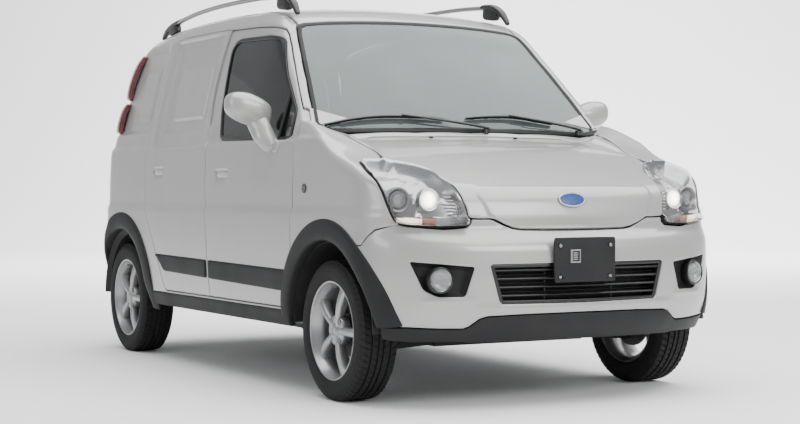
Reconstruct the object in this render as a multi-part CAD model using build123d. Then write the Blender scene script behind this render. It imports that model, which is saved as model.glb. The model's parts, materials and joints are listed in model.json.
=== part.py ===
from build123d import *
import os
from collections import namedtuple
from functools import lru_cache
from math import cos, pi, radians, sin, sqrt

os.makedirs("parts", exist_ok=True)

# Small electric panel van, millimetres. +Z is up, the front faces -Y, the van's right side is -X.
# The origin is on the ground, under the middle of the overall box.

# ---------------------------------------------------------------- driving dimensions
WHEELBASE = 2335.0
FRONT_OVERHANG = 610.0     # front axle to the face of the plate bracket
REAR_OVERHANG = 455.0      # rear axle to the back of the bumper
WIDTH = 1575.0             # over the body sides, without mirrors
ROOF_Z = 1640.0            # top of the roof skin
TRACK = 1366.0             # between the centre planes of a pair of tyres
TYRE_R = 270.0
TYRE_WIDTH = 165.0
RIM_R = 192.0              # over the rim's lips

LENGTH = FRONT_OVERHANG + WHEELBASE + REAR_OVERHANG
HALF = WIDTH / 2
FRONT_Y = FRONT_OVERHANG - LENGTH / 2
REAR_Y = FRONT_Y + WHEELBASE
AXLE_Z = TYRE_R

# ---------------------------------------------------------------- walls and clearances
DOOR_SKIN = 14.0           # outer flange of a door, which has the full outline
DOOR_THICK = 44.0          # whole door
DOOR_GAP = 7.5             # shut line between a door and its neighbours
DOOR_STEP = 12.0           # a door's inner box lies this far inside its skin's outline
SHUT_CLEARANCE = 8.0       # between a shut door and the flange behind it
DOOR_SWING = 10.0          # room behind a door's skin, where its edge swings in past the hinge
PILLAR_DEPTH = 72.0        # whole body wall at the pillars
LANDING = 26.0             # width of the flange a door shuts against
PILLAR_WIDTH = 30.0        # windscreen pillar between the glass and the door
PANEL_GAP = 4.0            # between bolted panels
LID_GAP = 6.0              # around the hood
FENDER_THICK = 12.0
HOOD_THICK = 18.0
ROOF_THICK = 26.0
BUMPER_THICK = 28.0
TRIM_THICK = 8.0           # rub strips on the doors
FLARE_THICK = 12.0
GLASS = 5.0
GLASS_DEPTH = 8.0          # a door glass lies this far under the skin
SCREEN_DEPTH = 1.5         # the windscreen's face under the body skin
SEAT_GAP = 0.3             # between pieces that sit against each other

# ---------------------------------------------------------------- levels and places
SILL_BASE_Z = 290.0
DOOR_LOW_Z = 338.0
DOOR_TOP_Z = 1533.0
CREASE_LOW = 712.0
CREASE_TOP = 745.0
BELT_LOW = 1000.0
BELT_TOP = 1035.0
FLOOR_Z = 350.0            # top of the front floor
LOAD_Z = 590.0             # top of the load floor
FLOOR_THICK = 24.0
ROOF_SEAM_X = 545.0        # half the roof panel's width
HOOD_SEAM_X = 598.0        # half the hood's width
TAILGATE_LOW_Z = 612.0
TAILGATE_TOP_Z = 1552.0
ARCH_R = 352.0             # wheel openings in the body
FLARE_R = 428.0            # outside of the black flares

# ---------------------------------------------------------------- body form
NOSE_START = -195.0        # below the belt the nose starts to curve here, behind the front axle
CABIN_START = 900.0        # above the belt the sides already draw in from here
NOSE_POWER = 2.6           # squareness of the nose in plan
CORNER_R = 220.0           # rear corners in plan
REAR_BOW = 58.0            # bow of the rear face across the van
BUMPER_LIP = 25.0          # the rear bumper stands out this far
HOOD_CROWN_R = 11000.0     # crown across the hood
LAMP_OUTLINE = [(-712, 906), (-640, 918), (-560, 906), (-492, 872), (-458, 815), (-442, 755), (-434, 710),
                (-437, 683), (-455, 668), (-500, 665), (-560, 667), (-620, 672), (-668, 679), (-694, 694),
                (-708, 722), (-716, 760), (-727, 810), (-737, 860), (-732, 890)]
CABIN_CROWN_R = 4900.0     # crown across windscreen and roof
TAIL = REAR_OVERHANG - BUMPER_LIP

Slice = namedtuple("Slice", "z inset nose tail start", defaults=[NOSE_START])
SLICES = (
    Slice(150.0, 60.0, 265.0, TAIL - 25),
    Slice(340.0, 12.5, 305.0, TAIL - 5),
    Slice(620.0, 0.0, 325.0, TAIL),
    Slice(CREASE_LOW, 0.0, 322.0, TAIL),
    Slice(CREASE_TOP, 10.5, 316.0, TAIL),
    Slice(BELT_LOW, 19.5, 260.0, TAIL - 10),
    Slice(BELT_TOP, 35.5, 250.0, TAIL - 23),
    Slice(1270.0, 91.0, 1180.0, TAIL - 63, CABIN_START),
    Slice(1500.0, 152.5, 1184.0, TAIL - 137, CABIN_START),
    Slice(ROOF_Z + 20.0, 200.0, 1184.0, TAIL - 330, CABIN_START),
)
NOSE_SLICES = (
    Slice(240.0, 50.0, 338.0, 0.0),
    Slice(300.0, 30.0, 372.0, 0.0),
    Slice(350.0, 12.0, 385.0, 0.0),
    Slice(450.0, 3.0, 390.0, 0.0),
    Slice(560.0, 0.0, 388.0, 0.0),
    Slice(610.0, 0.0, 378.0, 0.0),
    Slice(640.0, 0.0, 352.0, 0.0),
    Slice(658.0, 0.0, 326.0, 0.0),
)
TAIL_SLICES = (
    Slice(290.0, 24.0, 0.0, REAR_OVERHANG - 28),
    Slice(340.0, 12.5, 0.0, REAR_OVERHANG - 6),
    Slice(450.0, 5.0, 0.0, REAR_OVERHANG),
    Slice(560.0, 1.0, 0.0, REAR_OVERHANG),
    Slice(592.0, 0.0, 0.0, REAR_OVERHANG - 12),
    Slice(604.0, 0.0, 0.0, REAR_OVERHANG - 24),
)


def fy(distance):
    """Y of a place behind the front axle."""
    return FRONT_Y + distance


def ry(distance):
    """Y of a place behind the rear axle; negative is ahead of it."""
    return REAR_Y + distance


def export(node, *solids):
    """Write one node's solids to its STEP file."""
    shape = solids[0] if len(solids) == 1 else Compound(children=list(solids))
    shape.label = node
    export_step(shape, f"parts/{node}.step")


def mirrored(solid):
    """The mirror image of a solid on the van's other side."""
    return mirror(solid, about=Plane.YZ)


def both(*solids):
    """Right-hand solids with their left-hand mirror images."""
    return list(solids) + [mirrored(solid) for solid in solids]


def largest(shape):
    """The largest solid of a shape, without loose slivers."""
    return max(shape.solids(), key=lambda solid: solid.volume)


def box(x0, x1, y0, y1, z0, z1):
    """Box between two corners."""
    size = (abs(x1 - x0), abs(y1 - y0), abs(z1 - z0))
    return Pos((x0 + x1) / 2, (y0 + y1) / 2, (z0 + z1) / 2) * Box(*size)


def rod(start, end, radius):
    """Round bar between two points."""
    line = Line(start, end)
    return extrude(Plane(origin=start, z_dir=line % 0) * Circle(radius), amount=line.length)


def face_of(edges):
    """Face inside a closed run of edges."""
    return make_face(Curve() + list(edges))


def yz_face(edges):
    """Face drawn with (y, z) points, standing in the YZ plane."""
    return Plane.YZ * face_of(edges)


def side_prism(face, x0=-1100.0, x1=-300.0):
    """Prism of a YZ face across the right-hand side."""
    return extrude(Pos(x0, 0, 0) * face, amount=x1 - x0, dir=(1, 0, 0))


def xz_prism(edges, y0, y1):
    """Prism along the van of an outline drawn with (x, z) points."""
    face = Plane.XZ * face_of(edges)
    return extrude(Pos(0, y0, 0) * face, amount=y1 - y0, dir=(0, 1, 0))


def xz_polygon(points, y0, y1, radius=0.0):
    """Prism along the van of a polygon in (x, z), with its corners rounded."""
    face = make_face(Polyline(*points, close=True))
    if radius:
        face = fillet(face.vertices(), radius)
    return extrude(Pos(0, y0, 0) * (Plane.XZ * face), amount=y1 - y0, dir=(0, 1, 0))


def yz_polygon(points, radius=0.0):
    """Face of a polygon in (y, z), with its corners rounded."""
    face = make_face(Polyline(*points, close=True))
    if radius:
        face = fillet(face.vertices(), radius)
    return Plane.YZ * face


def grown(face, amount):
    """Outline moved outward by an amount, or inward if it is negative."""
    return offset(face, amount=amount)


# ---------------------------------------------------------------- surfaces of the body
def nose_points(half, reach, start, steps=16):
    """Superellipse of the nose in plan, from the right side to the left."""
    points = []
    for step in range(steps + 1):
        angle = -pi / 2 + pi * step / steps
        across = abs(sin(angle)) ** (2 / NOSE_POWER)
        x = half * (across if angle > 0 else -across)
        points.append((x, fy(start) - reach * cos(angle)))
    return points


def nose_curve(item, inset):
    """The nose of one slice, moved in by the inset."""
    points = nose_points(HALF - item.inset - inset, item.nose - inset, item.start)
    return Spline(*points, tangents=[(0, -1), (0, 1)])


def tail_curves(item, inset):
    """Rear corners and bowed back of one slice, from the left side to the right."""
    half = HALF - item.inset - inset
    radius = CORNER_R - inset
    across, along = half - radius, ry(item.tail - inset - REAR_BOW) - radius
    reach = radius * sqrt(0.5)
    left = ThreePointArc((half, along), (across + reach, along + reach), (across, along + radius))
    back = ThreePointArc(left @ 1, (0, ry(item.tail - inset)), (-across, along + radius))
    right = ThreePointArc(back @ 1, (-across - reach, along + reach), (-half, along))
    return [left, back, right]


def level(item, inset, items):
    """Height of a slice; a smaller form reaches below its larger one, so that it opens it."""
    return item.z - inset if item is items[0] else item.z


def slice_face(item, inset):
    """Outline of the body at one height, moved in by the inset."""
    nose = nose_curve(item, inset)
    tail = tail_curves(item, inset)
    edges = [nose, Line(nose @ 1, tail[0] @ 0), *tail, Line(tail[-1] @ 1, nose @ 0)]
    return Pos(0, 0, level(item, inset, SLICES)) * face_of(edges)


@lru_cache
def nose_form(inset):
    """Front bumper's closed form, moved in by the inset."""
    faces = []
    for item in NOSE_SLICES:
        nose = nose_curve(item, inset)
        back = fy(-150) + inset
        rest = Polyline(nose @ 1, ((nose @ 1).X, back), ((nose @ 0).X, back), nose @ 0)
        height = level(item, inset, NOSE_SLICES)
        if item is NOSE_SLICES[-1]:
            height -= inset
        faces.append(Pos(0, 0, height) * face_of([nose, rest]))
    if inset > 0:
        faces.pop(-2)
    return loft(faces, ruled=True)


@lru_cache
def tail_form(inset):
    """Rear bumper's closed form, moved in by the inset."""
    faces = []
    for item in TAIL_SLICES:
        tail = tail_curves(item, inset)
        front = ry(60) - inset
        rest = Polyline(tail[-1] @ 1, ((tail[-1] @ 1).X, front), ((tail[0] @ 0).X, front), tail[0] @ 0)
        height = level(item, inset, TAIL_SLICES)
        if item is TAIL_SLICES[-1]:
            height -= inset
        faces.append(Pos(0, 0, height) * face_of([*tail, rest]))
    if inset > 0:
        faces.pop(-2)
    return loft(faces, ruled=True)


def sunk(y, z, lean, inset):
    """Profile point moved under the skin; lean is the skin's slope there, in degrees."""
    return (y + inset * sin(radians(lean)), z - inset * cos(radians(lean)))


def crowned(edges, radius):
    """A (y, z) profile turned about a low axis, so that its top is crowned across the van."""
    axis = Axis((0, 0, 1000 - radius), (0, 1, 0))
    half_turn = 80000.0 / radius
    turned = revolve(yz_face(edges), axis=axis, revolution_arc=2 * half_turn)
    return turned.rotate(axis, -half_turn)


@lru_cache
def profile_prism(inset):
    """Hood and cabin as two crowned profiles; the windscreen's base is where they meet."""
    def at(y, z, lean):
        return sunk(y, z, lean, inset)

    roof_mid = (fy(938) + ry(-90)) / 2
    front, back = fy(-FRONT_OVERHANG - 200), ry(REAR_OVERHANG + 200)
    start = at(front, 760, 10)
    skin = ThreePointArc(at(fy(-456), 822, 14), at(fy(-142), 941, 17), at(fy(219), 1023, 12))
    cowl = Line(skin @ 1, at(fy(440), 1068, 12))
    below = Polyline(cowl @ 1, ((cowl @ 1).X, -400), (front, -400), start)
    hood_part = crowned([Line(start, skin @ 0), skin, cowl, below], HOOD_CROWN_R)
    screen = ThreePointArc(at(fy(240), 1040, 40), at(fy(490), 1298, 46), at(fy(750), 1540, 38))
    header = ThreePointArc(screen @ 1, at(fy(833), 1585, 26), at(fy(938), 1611, 10))
    roof = ThreePointArc(header @ 1, at(roof_mid, ROOF_Z, 0), at(ry(-90), 1618, -5))
    spoiler = ThreePointArc(roof @ 1, at(ry(125), 1583, -16), at(ry(285), 1500, -40))
    foot = ((screen @ 0).X, -400)
    tail = Polyline(spoiler @ 1, (back, (spoiler @ 1).Y), (back, -400), foot, screen @ 0)
    return hood_part + crowned([screen, header, roof, spoiler, tail], CABIN_CROWN_R)


@lru_cache
def crest_block(inset):
    """Right fender crest: it rises from the lamp's tail to the foot of the windscreen pillar."""
    inner = [(fy(-380), 800), (fy(-142), 905), (fy(95), 1003), (fy(230), 1030), (fy(340), 1045)]
    outer = [(fy(-380), 735), (fy(-85), 912), (fy(59), 1002), (fy(225), 1084), (fy(340), 1130)]
    faces = []
    for x, line in ((-584.0, inner), (-760.0, outer)):
        top = [(y, z - inset) for y, z in line]
        points = top + [(line[-1][0], 300), (line[0][0], 300)]
        faces.append(Pos(x, 0, 0) * yz_polygon(points))
    return loft(faces, ruled=True)


@lru_cache
def roof_section(inset):
    """Prism along the van that rounds the roof's sides and crowns it."""
    side, shoulder = HALF - 152.5 - inset, HALF - 215.0 - inset
    far, top = WIDTH, ROOF_Z - inset
    edges = [Line((-far, 0), (far, 0)), Line((far, 0), (far, 1500)), Line((far, 1500), (side, 1500)),
             ThreePointArc((side, 1500), (side - 20, 1553), (shoulder, top - 48)),
             ThreePointArc((shoulder, top - 48), (0, top), (-shoulder, top - 48)),
             ThreePointArc((-shoulder, top - 48), (-side + 20, 1553), (-side, 1500)),
             Line((-side, 1500), (-far, 1500)), Line((-far, 1500), (-far, 0))]
    return xz_prism(edges, fy(-FRONT_OVERHANG - 300), ry(REAR_OVERHANG + 300))


@lru_cache
def body_form(inset):
    """The van's closed outer form, moved in by the inset."""
    form = loft([slice_face(item, inset) for item in SLICES], ruled=True)
    top = profile_prism(inset) + crest_block(inset) + mirrored(crest_block(inset))
    return (form & roof_section(inset)) & top


def wall(region, outer, inner):
    """The body's wall inside a region, from one depth under the skin to another."""
    return (body_form(outer) & region) - body_form(inner)


def side_box(y0, y1, z0, z1):
    """Box over the right-hand side of the van."""
    return box(-HALF - 60, -HALF + 330, y0, y1, z0, z1)


def right_half(y0, y1, z0, z1):
    """Box over the right-hand half of the van."""
    return box(-HALF - 60, 0, y0, y1, z0, z1)


def joined(half):
    """A right-hand half and its mirror image as one solid."""
    return largest(largest(half) + mirrored(largest(half)))


# ---------------------------------------------------------------- outlines on the side, as (y, z)
def split_edges(shift):
    """Shut line between front and rear door, moved along the van by the shift."""
    low = ThreePointArc((fy(1185) + shift, DOOR_LOW_Z), (fy(1216) + shift, 680), (fy(1250) + shift, 985))
    mid = ThreePointArc(low @ 1, (fy(1296) + shift, 1125), (fy(1312) + shift, 1262))
    top = ThreePointArc(mid @ 1, (fy(1308) + shift, 1400), (fy(1290) + shift, DOOR_TOP_Z))
    return [low, mid, top]


@lru_cache
def front_door_face():
    """Outline of the front door, with its slanted windscreen pillar edge."""
    split = split_edges(-DOOR_GAP / 2)
    foot = (fy(310), DOOR_LOW_Z)
    front = ThreePointArc(foot, (fy(315), 640), (fy(311), 1035))
    elbow = ThreePointArc(front @ 1, (fy(328), 1084), (fy(387), 1142))
    pillar = Line(elbow @ 1, (fy(668), 1428))
    brow = ThreePointArc(pillar @ 1, (fy(722), 1478), (fy(800), 1506))
    head = ThreePointArc(brow @ 1, (fy(1040), 1527), split[-1] @ 1)
    return yz_face([front, elbow, pillar, brow, head, *split, Line(split[0] @ 0, foot)])


@lru_cache
def rear_door_face():
    """Outline of the rear door; its lower edge leans forward, clear of the wheel arch."""
    split = split_edges(DOOR_GAP / 2)
    back = ry(-322)
    low_corner = (ry(-592), DOOR_LOW_Z)
    lean = Line(low_corner, (back, 790))
    upright = ThreePointArc((back, 790), (back + 6, 1150), (back - 6, 1480))
    bend = ThreePointArc(upright @ 1, (back - 20, 1518), (back - 55, DOOR_TOP_Z))
    edges = [*split, Line(split[-1] @ 1, bend @ 1), bend, upright, lean, Line(low_corner, split[0] @ 0)]
    return yz_face(edges)


@lru_cache
def door_pair_face():
    """Both doors as one outline, without the shut line between them."""
    front, rear = front_door_face(), rear_door_face()
    return front + rear + yz_face([*split_edges(-DOOR_GAP), *split_edges(DOOR_GAP),
                                   Line(split_edges(-DOOR_GAP)[0] @ 0, split_edges(DOOR_GAP)[0] @ 0),
                                   Line(split_edges(-DOOR_GAP)[-1] @ 1, split_edges(DOOR_GAP)[-1] @ 1)])


@lru_cache
def front_window_face():
    """Opening for the front door's glass."""
    points = [(fy(1140), 1031), (fy(388), 1011), (fy(400), 1124), (fy(712), 1453), (fy(1190), 1480),
              (fy(1226), 1420)]
    return yz_polygon(points, 22)


@lru_cache
def arch_face(radius, centre_y):
    """Wheel arch outline: a half round over the axle with straight sides below it."""
    over = ThreePointArc((centre_y - radius, AXLE_Z), (centre_y, AXLE_Z + radius), (centre_y + radius, AXLE_Z))
    sides = Polyline(over @ 1, (centre_y + radius, 60), (centre_y - radius, 60), over @ 0)
    return yz_face([over, sides])


def windscreen_prism(margin):
    """Prism of the windscreen's outline, seen from the front and grown by a margin."""
    foot, low, high = 640.0 + margin, 664.0 + margin, 552.0 + margin
    bottom = ThreePointArc((-foot, 1047 - margin), (0, 1053 - margin), (foot, 1047 - margin))
    left = Polyline(bottom @ 1, (low, 1086), (high, 1490 + margin))
    top = ThreePointArc(left @ 1, (0, 1536 + margin), (-high, 1490 + margin))
    edges = [bottom, left, top, Polyline(top @ 1, (-low, 1086), (-foot, 1047 - margin))]
    return xz_prism(edges, fy(150), fy(960))


def tailgate_prism(margin):
    """Prism of the tailgate's outline, seen from behind and grown by a margin."""
    low, belt, high = 585.0 + margin, 640.0 + margin, 520.0 + margin
    foot, head = TAILGATE_LOW_Z - margin, TAILGATE_TOP_Z - 22 + margin
    top = ThreePointArc((high, head), (0, TAILGATE_TOP_Z + margin), (-high, head))
    left = Polyline((low, foot), (belt, 760), (belt, 1080), (high, head))
    right = Polyline((-high, head), (-belt, 1080), (-belt, 760), (-low, foot))
    return xz_prism([Line((-low, foot), (low, foot)), left, top, right], ry(120), ry(REAR_OVERHANG + 100))


def shifted(points, margin):
    """Points of a closed outline, each moved outward by the margin."""
    ring = []
    for i, (x, z) in enumerate(points):
        before, after = points[i - 1], points[(i + 1) % len(points)]
        along = Vector(after[0] - before[0], after[1] - before[1]).normalized()
        ring.append((x - along.Y * margin, z + along.X * margin))
    return ring


def lamp_prism(margin):
    """Prism of the right headlamp's outline, seen from the front and grown by a margin."""
    face = Plane.XZ * face_of([Spline(*shifted(LAMP_OUTLINE, margin), periodic=True)])
    return extrude(Pos(0, fy(-600), 0) * face, amount=560, dir=(0, 1, 0))


def hood_prism(margin):
    """Prism of the hood's outline, seen from the front and grown by a margin."""
    side, corner = HOOD_SEAM_X + margin, 429.0 + margin
    low, ledge = 662.0 - margin, 700.0 - margin
    half = [(0, low), (250, low), (350, ledge), (corner, ledge), (440 + margin, 755), (455 + margin, 815),
            (486 + margin, 876), (548, 916 - margin), (side, 926 - margin), (side, 1120)]
    points = half + [(-x, z) for x, z in reversed(half[1:])]
    return xz_polygon(points, fy(-600), fy(260))


def cowl_line(shift):
    """Prism of everything ahead of the hood's bowed rear edge, moved back by the shift."""
    back = ThreePointArc((-HALF, fy(252) + shift), (0, fy(222) + shift), (HALF, fy(252) + shift))
    rest = Polyline(back @ 1, (HALF, fy(-700)), (-HALF, fy(-700)), back @ 0)
    return extrude(Pos(0, 0, 200) * face_of([back, rest]), amount=1200)


# ---------------------------------------------------------------- body shell
def body_side():
    """Right body side: sill, pillars, roof rail and rear quarter, open at doors, glass and arches."""
    region = box(-HALF - 20, -ROOF_SEAM_X, fy(205), ry(REAR_OVERHANG), SILL_BASE_Z, ROOF_Z + 20)
    shell = wall(region, 0.0, PILLAR_DEPTH)
    recess = DOOR_THICK + SHUT_CLEARANCE
    pillar = windscreen_prism(PILLAR_WIDTH - DOOR_GAP)
    for outline in (front_door_face(), rear_door_face()):
        shell -= side_prism(grown(outline, -LANDING)) - pillar
    pair = door_pair_face()
    shell -= side_prism(grown(pair, DOOR_GAP)) - pillar - body_form(DOOR_SKIN + DOOR_SWING)
    shell -= side_prism(grown(pair, DOOR_GAP - DOOR_STEP + 4)) - pillar - body_form(recess)
    for axle_y in (FRONT_Y, REAR_Y):
        shell -= side_prism(arch_face(ARCH_R, axle_y), x1=0)
    shell -= windscreen_prism(-18)
    shell -= windscreen_prism(PANEL_GAP) - body_form(SCREEN_DEPTH + GLASS + SEAT_GAP)
    shell -= tailgate_prism(-20)
    shell -= tailgate_prism(DOOR_GAP) - body_form(recess)
    shell -= side_box(fy(100), fy(306), 0, 1200) - body_form(FENDER_THICK + 2)
    shell -= box(-HOOD_SEAM_X - 60, 0, fy(100), fy(330), 0, 1100)
    shell -= tail_form(0.0) - body_form(BUMPER_THICK)
    shell -= tail_lamp_region(1.0) - body_form(12.0)
    return largest(shell)


def tail_lamp_region(margin):
    """Region of the right tail lamp on the rear corner, grown by a margin."""
    points = [(ry(30) - margin, 1486 + margin), (ry(145) - margin, 1092 - margin),
              (ry(500), 1092 - margin), (ry(500), 1486 + margin)]
    return side_prism(yz_polygon(points), x0=-HALF - 40, x1=-652 + margin) & xz_polygon(
        [(-900, 1000), (-652 + margin, 1000), (-652 + margin, 1110), (-585 + margin, 1500), (-900, 1500)],
        ry(0), ry(500))


def roof_panel():
    """Roof skin with its windscreen header and rear header."""
    seam = ROOF_SEAM_X - SEAT_GAP
    region = box(-seam, seam, fy(600), ry(REAR_OVERHANG), 1380, ROOF_Z + 20)
    shell = wall(region, 0.0, ROOF_THICK)
    shell -= windscreen_prism(-18)
    shell -= windscreen_prism(PANEL_GAP) - body_form(SCREEN_DEPTH + GLASS + SEAT_GAP)
    shell -= tailgate_prism(DOOR_GAP)
    return largest(shell)


def windscreen():
    """Laminated windscreen, bowed like the body."""
    return largest(wall(windscreen_prism(0), SCREEN_DEPTH, SCREEN_DEPTH + GLASS))


def cowl_panel():
    """Panel between hood and windscreen, with the bulkhead below it."""
    top = wall(box(-HOOD_SEAM_X, HOOD_SEAM_X, fy(200), fy(400), 950, 1150), 0.0, 24.0)
    top -= cowl_line(DOOR_GAP)
    top -= windscreen_prism(-18)
    top -= windscreen_prism(PANEL_GAP) - body_form(SCREEN_DEPTH + GLASS + SEAT_GAP)
    wall_y = fy(BULKHEAD)
    bulkhead = box(-HOOD_SEAM_X, HOOD_SEAM_X, wall_y, wall_y + BULKHEAD_THICK, FLOOR_Z - 4 + SEAT_GAP, 1060)
    bulkhead = bulkhead & body_form(4.0)
    bulkhead -= windscreen_prism(PANEL_GAP)
    return largest(top + bulkhead)


def fender():
    """Right front fender, from the bumper to the door, with its raised crest."""
    region = box(-HALF - 20, -HOOD_SEAM_X - LID_GAP, fy(-460), fy(310) - DOOR_GAP, 300, 1200)
    shell = wall(region, 0.0, FENDER_THICK)
    shell -= side_prism(arch_face(ARCH_R, FRONT_Y), x1=0)
    shell -= windscreen_prism(PANEL_GAP)
    shell -= lamp_prism(PANEL_GAP)
    shell -= box(-HALF, 0, fy(-460), fy(-250), 0, 676)
    shell -= nose_form(-PANEL_GAP)
    return largest(shell)


# ---------------------------------------------------------------- opening panels
def hood():
    """Hood with its folded front, a nose crease and the badge's oval boss."""
    region = hood_prism(0) & cowl_line(0)
    shell = wall(region, 0.0, HOOD_THICK)
    badge = Plane(origin=(0, fy(-503), 768), z_dir=(0, -1, 0.12)) * Ellipse(60, 30)
    shell = largest(shell) + extrude(badge, amount=9, both=False)
    return largest(shell)


def door_panel(outline, openings=()):
    """Door with a full-size skin and a stepped inner box, cut through at its openings."""
    pillar = windscreen_prism(PILLAR_WIDTH)
    skin = wall(side_prism(outline) - pillar, 0.0, DOOR_SKIN)
    inner = wall(side_prism(grown(outline, -DOOR_STEP)) - pillar, DOOR_SKIN - 1, DOOR_THICK)
    door = largest(skin) + largest(inner)
    for opening in openings:
        door -= side_prism(opening)
    return door


def handle_cup(centre_y, centre_z):
    """Finger recess behind a flap handle."""
    cup = yz_polygon([(centre_y - 62, centre_z + 24), (centre_y + 62, centre_z + 24),
                      (centre_y + 40, centre_z - 28), (centre_y - 40, centre_z - 28)], 12)
    return side_prism(cup) - body_form(22.0)


def handle_flap(centre_y, centre_z):
    """Flap that the fingers pull, across the top of its recess."""
    flap = yz_polygon([(centre_y - 58, centre_z + 30), (centre_y + 58, centre_z + 30),
                       (centre_y + 54, centre_z - 4), (centre_y - 54, centre_z - 4)], 6)
    return (body_form(-4.0) & side_prism(flap)) - body_form(10.0)


def front_door():
    """Right front door."""
    door = door_panel(front_door_face(), [front_window_face()])
    channel = side_prism(grown(front_window_face(), 12)) & body_form(GLASS_DEPTH - SEAT_GAP)
    door -= channel - body_form(GLASS_DEPTH + GLASS + SEAT_GAP)
    door -= handle_cup(fy(1058), 872)
    door += handle_flap(fy(1058), 880)
    return largest(door)


def front_door_glass():
    """Right front door glass, held in its channel."""
    outline = side_prism(grown(front_window_face(), 11)) - windscreen_prism(PILLAR_WIDTH + 10)
    return largest(wall(outline, GLASS_DEPTH, GLASS_DEPTH + GLASS))


def stamping(outline, depth):
    """What a pressed panel of the side loses down to a depth."""
    return side_prism(outline) - body_form(depth)


def rear_door():
    """Right rear door: a blank panel pressed in where a window would be."""
    door = door_panel(rear_door_face())
    frame = yz_polygon([(fy(1372), 1052), (ry(-410), 1052), (ry(-386), 1200), (ry(-398), 1412), (fy(1402), 1412)], 30)
    panel = yz_polygon([(fy(1396), 1092), (ry(-520), 1092), (ry(-512), 1390), (fy(1410), 1390)], 24)
    door -= stamping(frame, 5.0)
    door += (body_form(0.0) & side_prism(panel)) - body_form(12.0)
    for rib_z in (1446, 1490):
        rib = yz_polygon([(fy(1380), rib_z - 8), (ry(-455), rib_z - 8), (ry(-455), rib_z + 8), (fy(1380), rib_z + 8)], 7)
        door -= stamping(rib, 4.0)
    door -= handle_cup(ry(-497), 872)
    door += handle_flap(ry(-497), 882)
    return largest(door)


def rub_strip(start_y, end_y, rake):
    """Rubbing strip along a door, with a raked rear end."""
    strip = yz_polygon([(start_y, 404), (end_y - rake, 424), (end_y, 504), (start_y, 490)], 14)
    return largest((body_form(-TRIM_THICK) & side_prism(strip)) - body_form(-SEAT_GAP))


def mirror_head():
    """Right door mirror: a foot on the door and a swept housing."""
    foot_y, head_y = fy(545), fy(585)
    foot = Plane(origin=(-762, foot_y, 985), z_dir=(-1, 0.1, 0.1)) * RectangleRounded(70, 110, 20)
    neck = Plane(origin=(-835, fy(560), 1060), z_dir=(-0.55, 0.2, 0.8)) * RectangleRounded(46, 60, 18)
    stem = loft([foot, neck])
    housing = Pos(-858, head_y + 20, 1142) * Rot(0, 0, -18) * Box(185, 92, 158)
    housing = fillet(housing.edges(), 38)
    shape = stem + housing
    return largest(shape - body_form(-SEAT_GAP))


def tailgate():
    """Rear lift gate with its glass opening."""
    outline = tailgate_prism(0)
    skin = wall(outline, 0.0, DOOR_SKIN)
    inner = wall(tailgate_prism(-DOOR_STEP), DOOR_SKIN - 1, DOOR_THICK)
    gate = largest(skin) + largest(inner)
    gate -= tailgate_window(0)
    channel = tailgate_window(12) & body_form(GLASS_DEPTH - SEAT_GAP)
    gate -= channel - body_form(GLASS_DEPTH + GLASS + SEAT_GAP)
    return largest(gate)


def tailgate_window(margin):
    """Prism of the tailgate's window, grown by a margin."""
    points = [(-555 - margin, 1040 - margin), (555 + margin, 1040 - margin), (470 + margin, 1440 + margin),
              (-470 - margin, 1440 + margin)]
    return xz_polygon(points, ry(150), ry(REAR_OVERHANG + 100), 40)


def tailgate_glass():
    """Tailgate glass, held in its channel."""
    return largest(wall(tailgate_window(11), GLASS_DEPTH, GLASS_DEPTH + GLASS))


# ---------------------------------------------------------------- nose and tail pieces
def grille_opening(margin):
    """Prism of the lower grille opening, grown by a margin."""
    points = [(-312 - margin, 376 - margin), (312 + margin, 376 - margin), (372 + margin, 518 + margin),
              (-372 - margin, 518 + margin)]
    return xz_polygon(points, fy(-700), fy(-300), 16)


def fog_opening(margin):
    """Prism of the right fog lamp recess, grown by a margin."""
    points = [(-410 + margin, 410 - margin), (-456 + margin, 527 + margin), (-668 - margin, 545 + margin),
              (-612 - margin, 424 - margin)]
    return xz_polygon(points, fy(-700), fy(-200), 18)


def valance_prism(margin):
    """Prism below the bumper's stepped lower edge, grown by a margin."""
    points = [(-HALF - 50, 200), (HALF + 50, 200), (HALF + 50, 309 + margin), (452 + margin, 309 + margin),
              (408 + margin, 352 + margin), (-408 - margin, 352 + margin), (-452 - margin, 309 + margin),
              (-HALF - 50, 309 + margin)]
    return xz_polygon(points, fy(-700), fy(0))


def front_bumper():
    """Front bumper cover, open for grille and fog lamps."""
    region = right_half(fy(-700), fy(-160), 245, 656)
    shell = (nose_form(0.0) & region) - nose_form(BUMPER_THICK)
    shoulder = wall(right_half(fy(-700), fy(-300), 636, 694) & box(-445, -290, fy(-700), 0, 0, 700), 0.0, 26.0)
    shell += shoulder - hood_prism(LID_GAP) - lamp_prism(PANEL_GAP)
    shell -= valance_prism(1.5)
    shell -= grille_opening(0)
    shell -= fog_opening(0)
    shell -= side_prism(arch_face(ARCH_R, FRONT_Y), x1=-200)
    return joined(shell)


def front_valance():
    """Black lower edge of the bumper, raised in the middle."""
    region = right_half(fy(-700), fy(-160), 245, 656)
    shell = (nose_form(0.0) & (valance_prism(0) & region)) - nose_form(BUMPER_THICK)
    shell -= side_prism(arch_face(ARCH_R, FRONT_Y), x1=-200)
    return joined(shell)


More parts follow.
